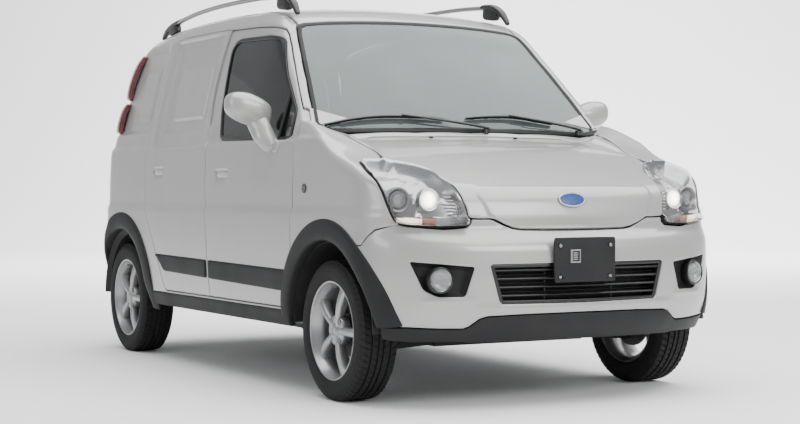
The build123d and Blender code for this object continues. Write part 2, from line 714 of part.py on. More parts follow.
def grille():
    """Slatted lower grille and the two fog lamp panels."""
    opening = grille_opening(-SEAT_GAP)
    frame = opening - xz_polygon([(-296, 388), (296, 388), (352, 506), (-352, 506)], fy(-700), fy(-300), 8)
    pattern = frame
    for slat_z in (417.0, 447.0, 477.0):
        pattern += box(-370, 370, fy(-700), fy(-300), slat_z - 5, slat_z + 5) & opening
    for post_x in (-180.0, 0.0, 180.0):
        pattern += box(post_x - 4, post_x + 4, fy(-700), fy(-300), 380, 515) & opening
    region = right_half(fy(-700), fy(-160), 245, 656)
    slats = (nose_form(8.0) & (pattern & region)) - nose_form(26.0)
    panel = (nose_form(20.0) & fog_opening(-SEAT_GAP)) - nose_form(BUMPER_THICK)
    panel -= rod((FOG_X, fy(-700), FOG_Z), (FOG_X, fy(-300), FOG_Z), FOG_R + 1)
    return [joined(slats), *both(largest(panel))]


def fog_lamp():
    """Right fog lamp: a domed round unit."""
    barrel = rod((FOG_X, fy(-476), FOG_Z), (FOG_X, fy(-420), FOG_Z), FOG_R)
    dome = Pos(FOG_X, fy(-476) + 70, FOG_Z) * Sphere(82)
    return largest(barrel + (dome & rod((FOG_X, fy(-600), FOG_Z), (FOG_X, fy(-440), FOG_Z), FOG_R)))


FOG_X, FOG_Z, FOG_R = -568.0, 480.0, 43.0


def plate_bracket():
    """Number-plate bracket: slotted plate on four feet, with a square boss."""
    face_y, thick = fy(-FRONT_OVERHANG), 13.0
    plate = xz_polygon([(-138, 464), (138, 464), (138, 629), (-138, 629)], face_y + 2, face_y + thick, 10)
    plate -= xz_polygon([(-124, 478), (124, 478), (124, 615), (-124, 615)], face_y, face_y + 6, 6)
    for x in (-PLATE_BOLT_X, PLATE_BOLT_X):
        for z in (PLATE_BOLT_LOW, PLATE_BOLT_HIGH):
            plate += rod((x, face_y, z), (x, fy(-545), z), 9)
            plate -= rod((x, face_y - 5, z), (x, face_y + 16, z), PLATE_HOLE_R)
    boss = xz_polygon([(-68, 535), (-22, 535), (-22, 585), (-68, 585)], face_y, face_y + thick, 4)
    plate += boss - xz_polygon([(-56, 548), (-34, 548), (-34, 573), (-56, 573)], face_y - 1, face_y + 5, 3)
    return largest(plate - nose_form(-SEAT_GAP))


PLATE_BOLT_X = 112.0
PLATE_BOLT_LOW, PLATE_BOLT_HIGH = 492.0, 601.0
PLATE_HOLE_R = 3.5


def headlight():
    """Right headlamp: clear lens over a dished housing."""
    lens = largest(wall(lamp_prism(-1.0), -2.0, 3.0) - nose_form(-1.0))
    housing = largest(wall(lamp_prism(-3.0), 4.0, 74.0) - nose_form(-1.0))
    for x, z, radius in ((-672.0, 775.0, 42.0), (-560.0, 775.0, 46.0)):
        back_y = fy(-290) if x < -600 else fy(-340)
        axis = Plane(origin=(x, back_y, z), z_dir=(0, -1, 0))
        housing -= loft([axis * Circle(radius * 0.45), axis.offset(140) * Circle(radius * 1.2)])
    return [lens, largest(housing)]


def rear_bumper():
    """Rear bumper cover, wrapped round the corners to the wheel arches."""
    region = right_half(ry(80), ry(REAR_OVERHANG + 10), 292, TAILGATE_LOW_Z - DOOR_GAP)
    shell = ((tail_form(0.0) & region) - tail_form(BUMPER_THICK)) - body_form(BUMPER_THICK - SEAT_GAP)
    shell -= side_prism(arch_face(ARCH_R, REAR_Y), x1=-200)
    return joined(shell)


def tail_light():
    """Right tail lamp: two domed lenses on one base."""
    region = tail_lamp_region(0.0)
    base = (body_form(-5.0) & region) - body_form(11.0)
    lamp = largest(base)
    for z0, z1 in ((1100.0, 1236.0), (1266.0, 1476.0)):
        dome = (body_form(-20.0) & region) & box(-HALF - 40, -500, ry(0), ry(500), z0, z1)
        lamp += largest(dome - body_form(0.0))
    return largest(lamp)


# ---------------------------------------------------------------- outer trim
def flare(centre_y, low_z):
    """Black flare round a right-hand wheel opening."""
    back = fy(303) if centre_y < 0 else ry(460)
    region = side_box(centre_y - 460, back, low_z, 800)
    bumper = nose_form if centre_y < 0 else tail_form
    ring = side_prism(arch_face(FLARE_R, centre_y)) - side_prism(arch_face(ARCH_R - 6, centre_y))
    skin = (body_form(-FLARE_THICK) & region) + (bumper(-FLARE_THICK) & region)
    under = (body_form(-SEAT_GAP) & region) + (bumper(-SEAT_GAP) & region)
    return largest((skin & ring) - under)


def sill_cover():
    """Black cover under the right-hand doors."""
    region = side_box(fy(ARCH_R + 4), ry(-FLARE_R - 2), 262, 328)
    cover = (body_form(-FLARE_THICK) & region) - body_form(-SEAT_GAP)
    return largest(cover)


def roof_rail():
    """Right roof rail: a bowed bar on three feet."""
    x = -520.0
    front, back = fy(800), ry(80)
    start, end = (x, front, 1566), (x, back, 1600)
    a, b = (x, fy(985), 1628), (x, back - 130, 1645)
    mid = (x, (front + back) / 2 + 60, 1662)
    path = Spline(start, a, mid, b, end)
    bar = sweep(Plane(origin=start, z_dir=path % 0) * Ellipse(13, 9), path=path)
    rail = bar
    for y, top in ((fy(850), 1590), ((front + back) / 2, 1664), (back - 60, 1625)):
        rail += Pos(x, y, (top + 1560) / 2) * Box(24, 70, top - 1560)
    return largest(rail - body_form(-SEAT_GAP))


def wiper(points, pivot, hold):
    """Wiper blade along the glass, with the arm from its pivot to where it holds the blade."""
    low = [(x, z - 6) for x, z in points]
    high = [(x, z + 6) for x, z in reversed(points)]
    strip = xz_polygon(low + high, fy(150), fy(600)) & windscreen_prism(-2.0)
    blade = (body_form(-13.0) & strip) - body_form(SCREEN_DEPTH - SEAT_GAP)
    up = Vector(0, -0.62, 0.78)
    arm = rod(tuple(pivot + 18 * up), tuple(hold), 4.5) + Pos(*(pivot + 18 * up)) * Sphere(9)
    return largest(largest(blade) + arm + rod(tuple(pivot), tuple(pivot + 18 * up), 8) - body_form(-SEAT_GAP))


def door_seals():
    """Rubber seals that the right-hand doors shut against."""
    strips = []
    for low, high in (((fy(1199), 700), (fy(1232), 1000)), ((fy(1237), 700), (fy(1270), 1000)),
                      ((ry(-345), 800), (ry(-345), 1300)), ((fy(325), 560), (fy(325), 980))):
        outline = yz_polygon([(low[0] - 3, low[1]), (low[0] + 3, low[1]), (high[0] + 3, high[1]),
                              (high[0] - 3, high[1])])
        strips.append(largest(wall(side_prism(outline), DOOR_THICK + SEAT_GAP, DOOR_THICK + SHUT_CLEARANCE - SEAT_GAP)))
    return strips


# ---------------------------------------------------------------- underbody and drive
RAIL_X = 370.0             # chassis rails
RAIL_LOW_Z = 286.0
RAIL_DROP = 95.0           # from the load floor down to the underside of the rear rails
HEEL = 1420.0              # step up to the load floor, behind the front axle
BULKHEAD = 300.0           # bulkhead between motor bay and cabin, behind the front axle
BULKHEAD_THICK = 12.0
MOTOR_END = 175.0          # rear end of the drive motor, ahead of the rear axle
BALL_JOINT = Vector(-622.0, FRONT_Y, 190.0)     # lower end of the right steering axis
STRUT_TOP = Vector(-505.0, FRONT_Y + 20, 770.0)
SPRING_SEAT = 0.69         # share of the steering axis below the spring
MOUNT_R = 64.0             # rubber mount on top of the spring
DISC_X = 650.0
HUB_R = 34.0


def floor_pan():
    """Stepped floor with side rails, cross members and the bumper beam."""
    half = HALF - PILLAR_DEPTH
    heel_y, tail_y = fy(HEEL), ry(TAIL - 60)
    pan = box(-half, half, fy(430), heel_y, FLOOR_Z - FLOOR_THICK, FLOOR_Z)
    pan += box(-440, 440, fy(BULKHEAD) + SEAT_GAP + BULKHEAD_THICK, fy(440), FLOOR_Z - FLOOR_THICK, FLOOR_Z)
    pan += box(-half, half, heel_y - FLOOR_THICK, heel_y, FLOOR_Z - FLOOR_THICK, LOAD_Z)
    pan += box(-half, half, heel_y - FLOOR_THICK, tail_y, LOAD_Z - FLOOR_THICK, LOAD_Z)
    pan = pan & body_form(PILLAR_DEPTH + SEAT_GAP)
    for x in (-RAIL_X, RAIL_X):
        pan += box(x - 30, x + 30, fy(-485), heel_y, RAIL_LOW_Z, FLOOR_Z - 4)
        pan += box(x - 30, x + 30, heel_y - 70, heel_y, RAIL_LOW_Z, LOAD_Z - 4)
        pan += box(x - 30, x + 30, heel_y - 70, tail_y - 40, LOAD_Z - RAIL_DROP, LOAD_Z - 4)
    for y in (fy(-385), fy(480), heel_y - 40):
        pan += box(-RAIL_X, RAIL_X, y - 30, y + 30, RAIL_LOW_Z + 10, FLOOR_Z - 10)
    pan += box(-RAIL_X - 270, RAIL_X + 270, fy(480) - 25, fy(480) + 25, RAIL_LOW_Z + 14, FLOOR_Z - 4)
    pan += box(-540, 540, tail_y - 110, tail_y - 70, LOAD_Z - 80, LOAD_Z - 4)
    for side in (-1, 1):
        plate_z = STRUT_TOP.Z + 0.2 * MOUNT_R + SEAT_GAP
        pan += box(side * 382, side * 438, fy(-30), fy(70), RAIL_LOW_Z + 4, plate_z + 20)
        pan += box(side * 440, side * 566, fy(-46), fy(86), plate_z, plate_z + 20)
    beam = nose_form(BUMPER_THICK + SEAT_GAP) & right_half(fy(-700), fy(-300), 320, 400)
    pan += joined((beam - nose_form(BUMPER_THICK + 50)) & box(-520, 0, fy(-700), fy(-300), 300, 420))
    return largest(pan)


def battery_pack():
    """Traction battery tray under the floor, with its ribs."""
    tray = box(-RAIL_X + 34, RAIL_X - 34, fy(560), fy(HEEL) - 90, 176, FLOOR_Z - FLOOR_THICK - SEAT_GAP)
    tray = chamfer(tray.edges().filter_by(Axis.Y).group_by(Axis.Z)[0], 24)
    for step in range(5):
        y = fy(640) + step * (HEEL - 820) / 4
        tray += box(-RAIL_X + 70, RAIL_X - 70, y - 12, y + 12, 170, 180)
    return largest(tray)


def drive_motor():
    """Drive motor: a plain drum along the van, ahead of the rear axle."""
    drum = rod((0, ry(-480), 395), (0, ry(-MOTOR_END), 395), 112)
    return drum + box(-150, 150, ry(-420), ry(-350), 470, LOAD_Z - FLOOR_THICK - SEAT_GAP)


def rear_axle():
    """Beam axle with its gear casing, leaf springs and brake drums."""
    beam = rod((-566, REAR_Y, AXLE_Z), (566, REAR_Y, AXLE_Z), 36)
    beam += Pos(0, REAR_Y, AXLE_Z) * Sphere(118) & box(-200, 200, ry(-200), ry(200), 100, 500)
    nose = rod((0, ry(-40), AXLE_Z + 60), (0, ry(-MOTOR_END) + SEAT_GAP, AXLE_Z + 60), 50)
    beam += nose
    for x in (-466.0, 466.0):
        path = ThreePointArc((x, ry(-330), 470), (x, REAR_Y, AXLE_Z + 70), (x, ry(355), 470))
        beam += sweep(Plane(origin=path @ 0, z_dir=path % 0) * Rectangle(50, 18), path=path)
        beam += box(x - 40, x + 40, ry(-45), ry(45), AXLE_Z, AXLE_Z + 66)
        for y in (ry(-330), ry(355)):
            beam += rod((x - 32, y, 470), (x + 32, y, 470), 20)
            inner = x + (52 if x < 0 else -52)
            beam += box(min(x, inner) - 24, max(x, inner) + 24, y - 18, y + 18, 474, LOAD_Z - RAIL_DROP - SEAT_GAP)
    for side in (-1, 1):
        beam += rod((side * 566, REAR_Y, AXLE_Z), (side * 600, REAR_Y, AXLE_Z), 110)
        beam += rod((side * 590, REAR_Y, AXLE_Z), (side * 700, REAR_Y, AXLE_Z), HUB_R)
    return largest(beam)


def on_strut(share):
    """Point on the right steering axis: 0 at the lower ball joint, 1 at the strut's top."""
    return BALL_JOINT + (STRUT_TOP - BALL_JOINT) * share


def strut_rod(low, high, radius):
    """Round bar on the steering axis between two shares of its length."""
    return rod(tuple(on_strut(low)), tuple(on_strut(high)), radius)


def lower_arm():
    """Right lower arm with its ball socket."""
    arm = loft([Plane(origin=(-330, fy(20), 218), x_dir=(0, 1, 0), z_dir=(-1, 0, 0)) * Rectangle(150, 30),
                Plane(origin=(BALL_JOINT.X + 12, fy(0), BALL_JOINT.Z), x_dir=(0, 1, 0),
                      z_dir=(-1, 0, 0)) * Rectangle(30, 18)])
    return arm + strut_rod(-0.02, 0.02, 15)


def spring():
    """Right front spring under its top mount."""
    return strut_rod(SPRING_SEAT + 0.0007, 0.955, 46) + strut_rod(0.93, 1.0, MOUNT_R)


def front_suspension():
    """Front cross member with both lower arms, and the two springs."""
    member = box(-345, 345, fy(-70), fy(110), 196, 250)
    member += box(-340, 340, fy(-50), fy(90), 250, RAIL_LOW_Z - SEAT_GAP)
    for side in both(lower_arm()):
        member += side
    return [largest(member), *both(spring())]


def knuckle():
    """Right steering knuckle: strut tube with its spring seat, hub, brake disc and calliper."""
    upright = strut_rod(0.0215, 0.09, 12) + strut_rod(0.08, 0.30, 26)
    tube = strut_rod(0.27, SPRING_SEAT, 24) + strut_rod(SPRING_SEAT - 0.02, SPRING_SEAT, 58)
    hub = rod((-600, FRONT_Y, AXLE_Z), (-700, FRONT_Y, AXLE_Z), HUB_R)
    disc = rod((-DISC_X - 6, FRONT_Y, AXLE_Z), (-DISC_X + 6, FRONT_Y, AXLE_Z), 120)
    hat = rod((-DISC_X - 40, FRONT_Y, AXLE_Z), (-DISC_X, FRONT_Y, AXLE_Z), 62)
    lug = box(-DISC_X + 8, -600, fy(10), fy(84), 282, 322)
    calliper = box(-DISC_X - 30, -DISC_X + 30, fy(58), fy(108), 262, 356)
    return largest(upright + tube + hub + disc + hat + lug + calliper)


def rim():
    """Five-spoke alloy wheel about the X axis, with its outer face towards -X."""
    face_x, back_x = -TYRE_WIDTH / 2 + 10, TYRE_WIDTH / 2 - 8
    barrel = [(face_x, RIM_R), (face_x, RIM_R - 9), (face_x + 22, RIM_R - 22), (face_x + 62, RIM_R - 34),
              (back_x - 12, RIM_R - 24), (back_x, RIM_R - 9), (back_x, RIM_R), (back_x - 7, RIM_R),
              (back_x - 9, RIM_R - 14), (back_x - 24, RIM_R - 18), (face_x + 64, RIM_R - 28),
              (face_x + 26, RIM_R - 16), (face_x + 10, RIM_R - 14), (face_x + 8, RIM_R)]
    outline = Plane.XZ * make_face(Polyline(*barrel, close=True))
    wheel = revolve(outline, axis=Axis.X)
    hub_face = face_x + 16
    spoke_profile = Plane.XY * make_face(Polyline((hub_face, 0), (hub_face, -60), (face_x + 8, -RIM_R + 15),
                                                  (face_x + 34, -RIM_R + 22), (hub_face + 34, -60),
                                                  (hub_face + 44, 0), close=True))
    spoke = extrude(spoke_profile, amount=24, both=True)
    spoke = spoke & loft([Pos(0, -40, 0) * (Plane.XZ * Rectangle(200, 48)),
                          Pos(0, -RIM_R + 12, 0) * (Plane.XZ * Rectangle(200, 34))])
    for step in range(5):
        wheel += spoke.rotate(Axis.X, 72 * step - 18)
    wheel += rod((hub_face, 0, 0), (hub_face + 44, 0, 0), 62)
    wheel -= rod((hub_face + 30, 0, 0), (hub_face + 60, 0, 0), HUB_R + 1)
    wheel -= rod((hub_face - 1, 0, 0), (hub_face + 10, 0, 0), 30)
    for step in range(4):
        bolt = rod((hub_face - 1, 50, 0), (hub_face + 14, 50, 0), 10)
        wheel -= bolt.rotate(Axis.X, 45 + 90 * step)
    return largest(wheel)


def tyre():
    """Tyre about the X axis: crowned tread, round shoulders and bulged side walls."""
    half, bead = TYRE_WIDTH / 2, RIM_R + 0.5
    wide = half - 3
    points = [(-half + 14, bead), (-half + 1, bead + 24), (-half + 1, TYRE_R - 34), (-wide + 10, TYRE_R - 8)]
    wall_left = Spline(*points)
    tread = ThreePointArc(points[-1], (0, TYRE_R), (-points[-1][0], points[-1][1]))
    wall_right = Spline(*[(-x, r) for x, r in reversed(points)])
    inner = Polyline(wall_right @ 1, (half - 20, bead), (half - 16, TYRE_R - 30), (-half + 16, TYRE_R - 30),
                     (-half + 20, bead), wall_left @ 0)
    section = Plane.XZ * face_of([wall_left, tread, wall_right, inner])
    return revolve(section, axis=Axis.X)


# ---------------------------------------------------------------- cabin
def dashboard():
    """Dashboard with its binnacle, swept across the cabin."""
    firewall = fy(BULKHEAD) + BULKHEAD_THICK + SEAT_GAP
    points = [(firewall, 985), (firewall, 800), (fy(420), 720), (fy(560), 740), (fy(600), 850), (fy(585), 930),
              (fy(520), 985), (fy(400), 1010)]
    board = side_prism(yz_polygon(points, 20), x0=-645, x1=645)
    hood_points = [(fy(430), 980), (fy(590), 905), (fy(612), 1000), (fy(560), 1040), (fy(450), 1030)]
    board += side_prism(yz_polygon(hood_points, 15), x0=210, x1=530)
    for x in (-480.0, 0.0):
        board -= box(x - 60, x + 60, fy(560), fy(640), 868, 912)
    board -= windscreen_prism(PANEL_GAP) - body_form(SCREEN_DEPTH + GLASS + 6)
    column = rod(tuple(STEERING_HUB - 250 * STEERING_AXIS), tuple(STEERING_HUB - 20.8 * STEERING_AXIS), 28)
    return largest((board + column) & body_form(SCREEN_DEPTH + GLASS + 6))


STEERING_X = 370.0
STEERING_HUB = Vector(STEERING_X, fy(742), 1000)
STEERING_AXIS = Vector(0, cos(radians(33)), sin(radians(33)))


def steering_wheel():
    """Steering wheel: rim, three spokes and a domed hub, facing the driver."""
    plane = Plane(origin=STEERING_HUB, x_dir=(1, 0, 0), z_dir=STEERING_AXIS)
    ring = Torus(176, 14)
    hub = Cylinder(58, 40) + Pos(0, 0, 20) * (Sphere(70) & Box(140, 140, 40))
    spokes = Pos(105, 0, 0) * Box(150, 34, 16) + Pos(-105, 0, 0) * Box(150, 34, 16) + Pos(0, -105, 0) * Box(44, 150, 16)
    return plane * (ring + hub + spokes)


def seat(x):
    """Front seat: cushion, backrest with head restraint, and its base."""
    base = box(x - 200, x + 200, fy(890), fy(1290), FLOOR_Z + SEAT_GAP, 540)
    cushion = box(x - 235, x + 235, fy(850), fy(1300), 540 + SEAT_GAP, 668)
    cushion = fillet(cushion.edges(), 40)
    back_profile = yz_polygon([(fy(1225), 600), (fy(1330), 580), (fy(1480), 1215), (fy(1395), 1235)], 32)
    back = extrude(Pos(x - 225, 0, 0) * back_profile, amount=450, dir=(1, 0, 0))
    head_profile = yz_polygon([(fy(1398), 1262), (fy(1470), 1250), (fy(1500), 1390), (fy(1430), 1402)], 24)
    head = extrude(Pos(x - 125, 0, 0) * head_profile, amount=250, dir=(1, 0, 0))
    posts = rod((x - 60, fy(1442), 1190), (x - 60, fy(1458), 1290), 8) + \
        rod((x + 60, fy(1442), 1190), (x + 60, fy(1458), 1290), 8)
    return [base, largest(cushion + back + head + posts)]


# ---------------------------------------------------------------- build
def build_body():
    """Write the pieces that are fixed to the body shell."""
    export("body_sides", *both(body_side()))
    export("roof_panel", roof_panel())
    export("windscreen", windscreen())
    export("cowl_panel", cowl_panel())
    export("fenders", *both(fender()))
    export("floor_pan", floor_pan())
    export("front_bumper", front_bumper())
    export("front_valance", front_valance())
    export("grille", *grille())
    export("fog_lamps", *both(fog_lamp()))
    export("plate_bracket", plate_bracket())
    lens, housing = headlight()
    export("headlight_lenses", *both(lens))
    export("headlight_housings", *both(housing))
    export("rear_bumper", rear_bumper())
    export("tail_lights", *both(tail_light()))
    export("arch_flares", *both(flare(FRONT_Y, 300), flare(REAR_Y, 300)))
    export("sill_covers", *both(sill_cover()))
    export("roof_rails", *both(roof_rail()))
    long_blade = wiper([(-628, 1066), (-515, 1091), (-375, 1107), (-198, 1100), (-108, 1086)],
                       Vector(82, fy(252), 1046), Vector(-372, fy(318), 1117))
    short_blade = wiper([(6, 1101), (201, 1115), (330, 1104), (445, 1080)],
                        Vector(520, fy(268), 1040), Vector(203, fy(314), 1124))
    export("wipers", long_blade, short_blade)
    export("door_seals", *both(*door_seals()))


def build_inside():
    """Write the cabin, the underbody and the drive."""
    export("dashboard", dashboard())
    export("seats", *seat(-STEERING_X), *seat(STEERING_X))
    export("battery_pack", battery_pack())
    export("drive_motor", drive_motor())
    export("rear_axle", rear_axle())
    export("front_suspension", *front_suspension())
    export("steering_wheel", steering_wheel())


def build_openings():
    """Write the doors, the lift gate and the hood."""
    pieces = {
        "front_door": front_door(), "front_door_glass": front_door_glass(), "rear_door": rear_door(),
        "door_mirror": mirror_head(), "front_rub_strip": rub_strip(fy(328), fy(1185), 0),
        "rear_rub_strip": rub_strip(fy(1232), ry(-498), 70),
    }
    for name, solid in pieces.items():
        export(f"{name}_right", solid)
        export(f"{name}_left", mirrored(solid))
    export("tailgate", tailgate())
    export("tailgate_glass", tailgate_glass())
    export("hood", hood())


def build_wheels():
    """Write wheels, tyres and knuckles."""
    export("knuckle_right", knuckle())
    export("knuckle_left", mirrored(knuckle()))
    right_rim, right_tyre = rim(), tyre()
    for end, axle_y in (("front", FRONT_Y), ("rear", REAR_Y)):
        place = Pos(-TRACK / 2, axle_y, AXLE_Z)
        for kind, solid in (("wheel", right_rim), ("tyre", right_tyre)):
            export(f"{kind}_{end}_right", place * solid)
            export(f"{kind}_{end}_left", mirrored(place * solid))


build_body()
build_openings()
build_wheels()
build_inside()
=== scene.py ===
"""Looks of a small electric panel van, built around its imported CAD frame."""
import json
import logging
import math
from dataclasses import dataclass, field
from enum import Enum
from typing import Any, Callable, Optional, Sequence

import bpy
import numpy as np
from mathutils import Matrix, Vector
from mathutils.geometry import delaunay_2d_cdt

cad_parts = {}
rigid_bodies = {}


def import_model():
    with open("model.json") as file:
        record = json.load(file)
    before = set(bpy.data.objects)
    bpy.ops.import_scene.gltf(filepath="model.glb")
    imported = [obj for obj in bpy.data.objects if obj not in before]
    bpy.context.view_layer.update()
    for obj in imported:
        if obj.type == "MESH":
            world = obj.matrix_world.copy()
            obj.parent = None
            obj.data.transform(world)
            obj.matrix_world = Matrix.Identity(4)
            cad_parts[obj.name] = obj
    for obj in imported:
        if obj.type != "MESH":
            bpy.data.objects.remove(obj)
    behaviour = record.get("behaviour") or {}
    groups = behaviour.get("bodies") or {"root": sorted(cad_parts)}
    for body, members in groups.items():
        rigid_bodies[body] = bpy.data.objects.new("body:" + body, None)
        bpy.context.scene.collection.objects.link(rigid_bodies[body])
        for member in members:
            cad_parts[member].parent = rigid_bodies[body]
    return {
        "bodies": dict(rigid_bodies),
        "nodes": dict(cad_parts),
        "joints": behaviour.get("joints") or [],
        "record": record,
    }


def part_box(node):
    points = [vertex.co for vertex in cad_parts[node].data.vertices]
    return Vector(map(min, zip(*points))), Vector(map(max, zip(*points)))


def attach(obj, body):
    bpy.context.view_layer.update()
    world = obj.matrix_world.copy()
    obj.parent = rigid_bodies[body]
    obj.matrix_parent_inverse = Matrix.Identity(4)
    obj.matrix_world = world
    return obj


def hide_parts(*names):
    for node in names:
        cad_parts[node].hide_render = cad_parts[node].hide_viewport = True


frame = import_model()

LOG = logging.getLogger("panel_van")
Array = np.ndarray
MM = 0.001
PIVOTS = {joint["name"]: np.round(np.array(joint["pos_m"]) / MM, 3) for joint in frame["joints"]}
FRONT_Y, AXLE_Z = PIVOTS["front_wheel_spin_right"][1:]
REAR_Y = PIVOTS["rear_wheel_spin_right"][1]
WHEELBASE = REAR_Y - FRONT_Y
HALF = 787.5            # half of the body's width at its widest line
ARCH_R = 352.0          # wheel opening in the sheet metal
FAR = 2200.0            # outside the van in every direction
SHARP = 38.0            # angle of a sharp edge, in degrees
SIDES = (("right", 1), ("left", -1))


def fy(distance: float) -> float:
    """Y of a place behind the front axle, in millimetres."""
    return FRONT_Y + distance


def ry(distance: float) -> float:
    """Y of a place behind the rear axle, in millimetres."""
    return REAR_Y + distance


# ---------------------------------------------------------------- small mathematics
def table(x: Array, knots: Sequence[tuple[float, float]]) -> Array:
    """Smooth curve through knots: a cubic with finite-difference slopes in each span.

    Args:
        x: places to read, of any shape.
        knots: (place, value) pairs in rising order of place.

    Returns:
        The curve's values, held constant outside the knots.
    """
    xs = np.array([k[0] for k in knots])
    ys = np.array([k[1] for k in knots])
    slopes = np.gradient(ys, xs)
    x = np.clip(x, xs[0], xs[-1])
    i = np.clip(np.searchsorted(xs, x) - 1, 0, len(xs) - 2)
    h = xs[i + 1] - xs[i]
    t = (x - xs[i]) / h
    a, b = ys[i], ys[i + 1]
    return (a * (1 + 2 * t) * (1 - t) ** 2 + b * t * t * (3 - 2 * t)
            + h * slopes[i] * t * (1 - t) ** 2 - h * slopes[i + 1] * t * t * (1 - t))


def step(x: Array, low: float, high: float) -> Array:
    """Smooth step from 0 at low to 1 at high: 3t^2 - 2t^3."""
    t = np.clip((x - low) / (high - low), 0.0, 1.0)
    return t * t * (3 - 2 * t)


def band(x: Array, low: float, high: float, soft: float) -> Array:
    """1 between low and high and 0 outside, with soft shoulders."""
    return step(x, low - soft, low + soft) * (1 - step(x, high - soft, high + soft))


def meet(a: Array, b: Array, radius: float | Array) -> Array:
    """Rounded corner of two distance fields: a quarter circle where both are near zero."""
    u = np.maximum(a + radius, 0)
    v = np.maximum(b + radius, 0)
    return np.minimum(np.maximum(a, b), -radius) + np.sqrt(u * u + v * v)


def join(a: Array, b: Array, radius: float) -> Array:
    """Filleted union of two distance fields: the lower of them, less a parabola near their crossing."""
    h = np.maximum(radius - np.abs(a - b), 0) / radius
    return np.minimum(a, b) - h * h * radius / 4


# ---------------------------------------------------------------- the van's outer form
@dataclass(frozen=True)
class BodyForm:
    """Closed outer form as a distance field, positive outside.

    Sides are superellipses in plan ahead of a start line and straight behind it, drawn in
    by an inset that depends on height. The back is bowed, and two crowned profiles close
    the top: the hood and the cabin.
    """

    inset: tuple = ((150, 60), (340, 12.5), (470, 3.5), (620, 0), (745, 0), (900, 4), (1000, 9), (1040, 14),
                    (1110, 29), (1270, 66.5), (1400, 99), (1500, 128), (1660, 180))
    reach: tuple = ((150, 300), (240, 338), (300, 372), (350, 385), (450, 391), (560, 389), (598, 383), (622, 370),
                    (640, 352), (652, 338), (662, 331), (700, 328), (745, 319), (790, 303), (840, 285), (1000, 258),
                    (1060, 250))
    tail: tuple = ((150, 405), (340, 425), (620, 430), (800, 430), (1000, 420), (1060, 409), (1270, 367),
                   (1500, 293), (1660, 190))
    hood: tuple = ((-800, 690), (-600, 760), (-456, 822), (-300, 887), (-142, 941), (40, 988), (219, 1023),
                   (440, 1068))
    cabin: tuple = ((100, 882), (240, 1040), (365, 1172), (490, 1298), (620, 1422), (750, 1540), (833, 1583),
                    (938, 1610), (1200, 1630), (1591, 1640), (1950, 1633), (2245, 1618), (2460, 1583),
                    (2620, 1500), (2750, 1390))
    power: float = 2.6
    bow: float = 58.0
    ledge: float = 10.5
    belt: float = 14.0

    def drawn_in(self, z: Array) -> Array:
        """How far the side lies inside the widest line at a height, with its two pressed ledges."""
        return table(z, self.inset) + self.ledge * step(z, 712, 745) + self.belt * step(z, 1001, 1034)

    def round_plan(self, x: Array, y: Array, half: Array, start: float, reach: Array) -> Array:
        """Distance to a superellipse nose: (level - 1) over the length of its gradient."""
        p = self.power
        across = np.abs(x) / half
        ahead = np.maximum(fy(start) - y, 0) / reach
        total = np.maximum(across ** p + ahead ** p, 1e-9)
        level = total ** (1 / p)
        scale = total ** (1 / p - 1)
        gx = across ** (p - 1) * scale / half
        gy = ahead ** (p - 1) * scale / reach
        return (level - 1) / np.sqrt(gx * gx + gy * gy + 1e-12)

    def sides(self, x: Array, y: Array, z: Array) -> Array:
        """Side and nose, changing above the belt to the cabin's own long nose."""
        half = HALF - self.drawn_in(z)
        low = self.round_plan(x, y, half, -195.0, table(z, self.reach))
        high = self.round_plan(x, y, half, 900.0, np.full_like(z, 1184.0))
        share = np.clip((z - 1035) / 235, 0, 1)
        return low * (1 - share) + high * share

    def crest(self, x: Array, y: Array, z: Array) -> Array:
        """Height above the fender's crest, ruled between an inner and an outer line."""
        d = y - FRONT_Y
        inner = table(d, ((-380, 800), (-142, 905), (95, 1003), (230, 1026), (300, 1006), (340, 990)))
        outer = table(d, ((-380, 735), (-85, 912), (59, 1002), (225, 1084), (340, 1130)))
        share = (np.abs(x) - 584) / 176
        fall = 1.1 * np.maximum(584 - np.abs(x), 0)
        return (z - inner - (outer - inner) * np.maximum(share, 0) + fall) * 0.86

    def tops(self, x: Array, y: Array, z: Array) -> Array:
        """Height above the hood, the crests and the cabin, whichever is highest."""
        d = y - FRONT_Y
        hood_slope = (table(d + 5, self.hood) - table(d - 5, self.hood)) / 10
        hood = (z - table(d, self.hood) + x * x / 22000) / np.sqrt(1 + hood_slope ** 2)
        slope = (table(d + 5, self.cabin) - table(d - 5, self.cabin)) / 10
        steep = 1 / np.sqrt(1 + slope ** 2)
        cabin = (z - table(d, self.cabin) + x * x / 9800 - np.minimum(d - 100, 0)) * steep
        return join(join(hood, self.crest(x, y, z), 26), cabin, 14)

    def __call__(self, points: Array) -> Array:
        """Distance field at points of shape (n, 3)."""
        x, y, z = points[:, 0], points[:, 1], points[:, 2]
        half = HALF - self.drawn_in(z)
        back = (y - ry(0) - table(z, self.tail) + self.bow * (x / half) ** 2) * 0.97
        walls = meet(self.sides(x, y, z), back, 190.0)
        radius = table(y - FRONT_Y, ((-600, 36), (150, 30), (300, 26), (500, 42), (900, 72), (2400, 72)))
        return meet(walls, self.tops(x, y, z), radius)

    def normals(self, points: Array) -> Array:
        """Unit outward normals: central differences of the field."""
        grads = []
        for axis in range(3):
            shift = np.zeros(3)
            shift[axis] = 0.5
            grads.append(self(points + shift) - self(points - shift))
        n = np.stack(grads, 1)
        return n / np.maximum(np.linalg.norm(n, axis=1, keepdims=True), 1e-9)


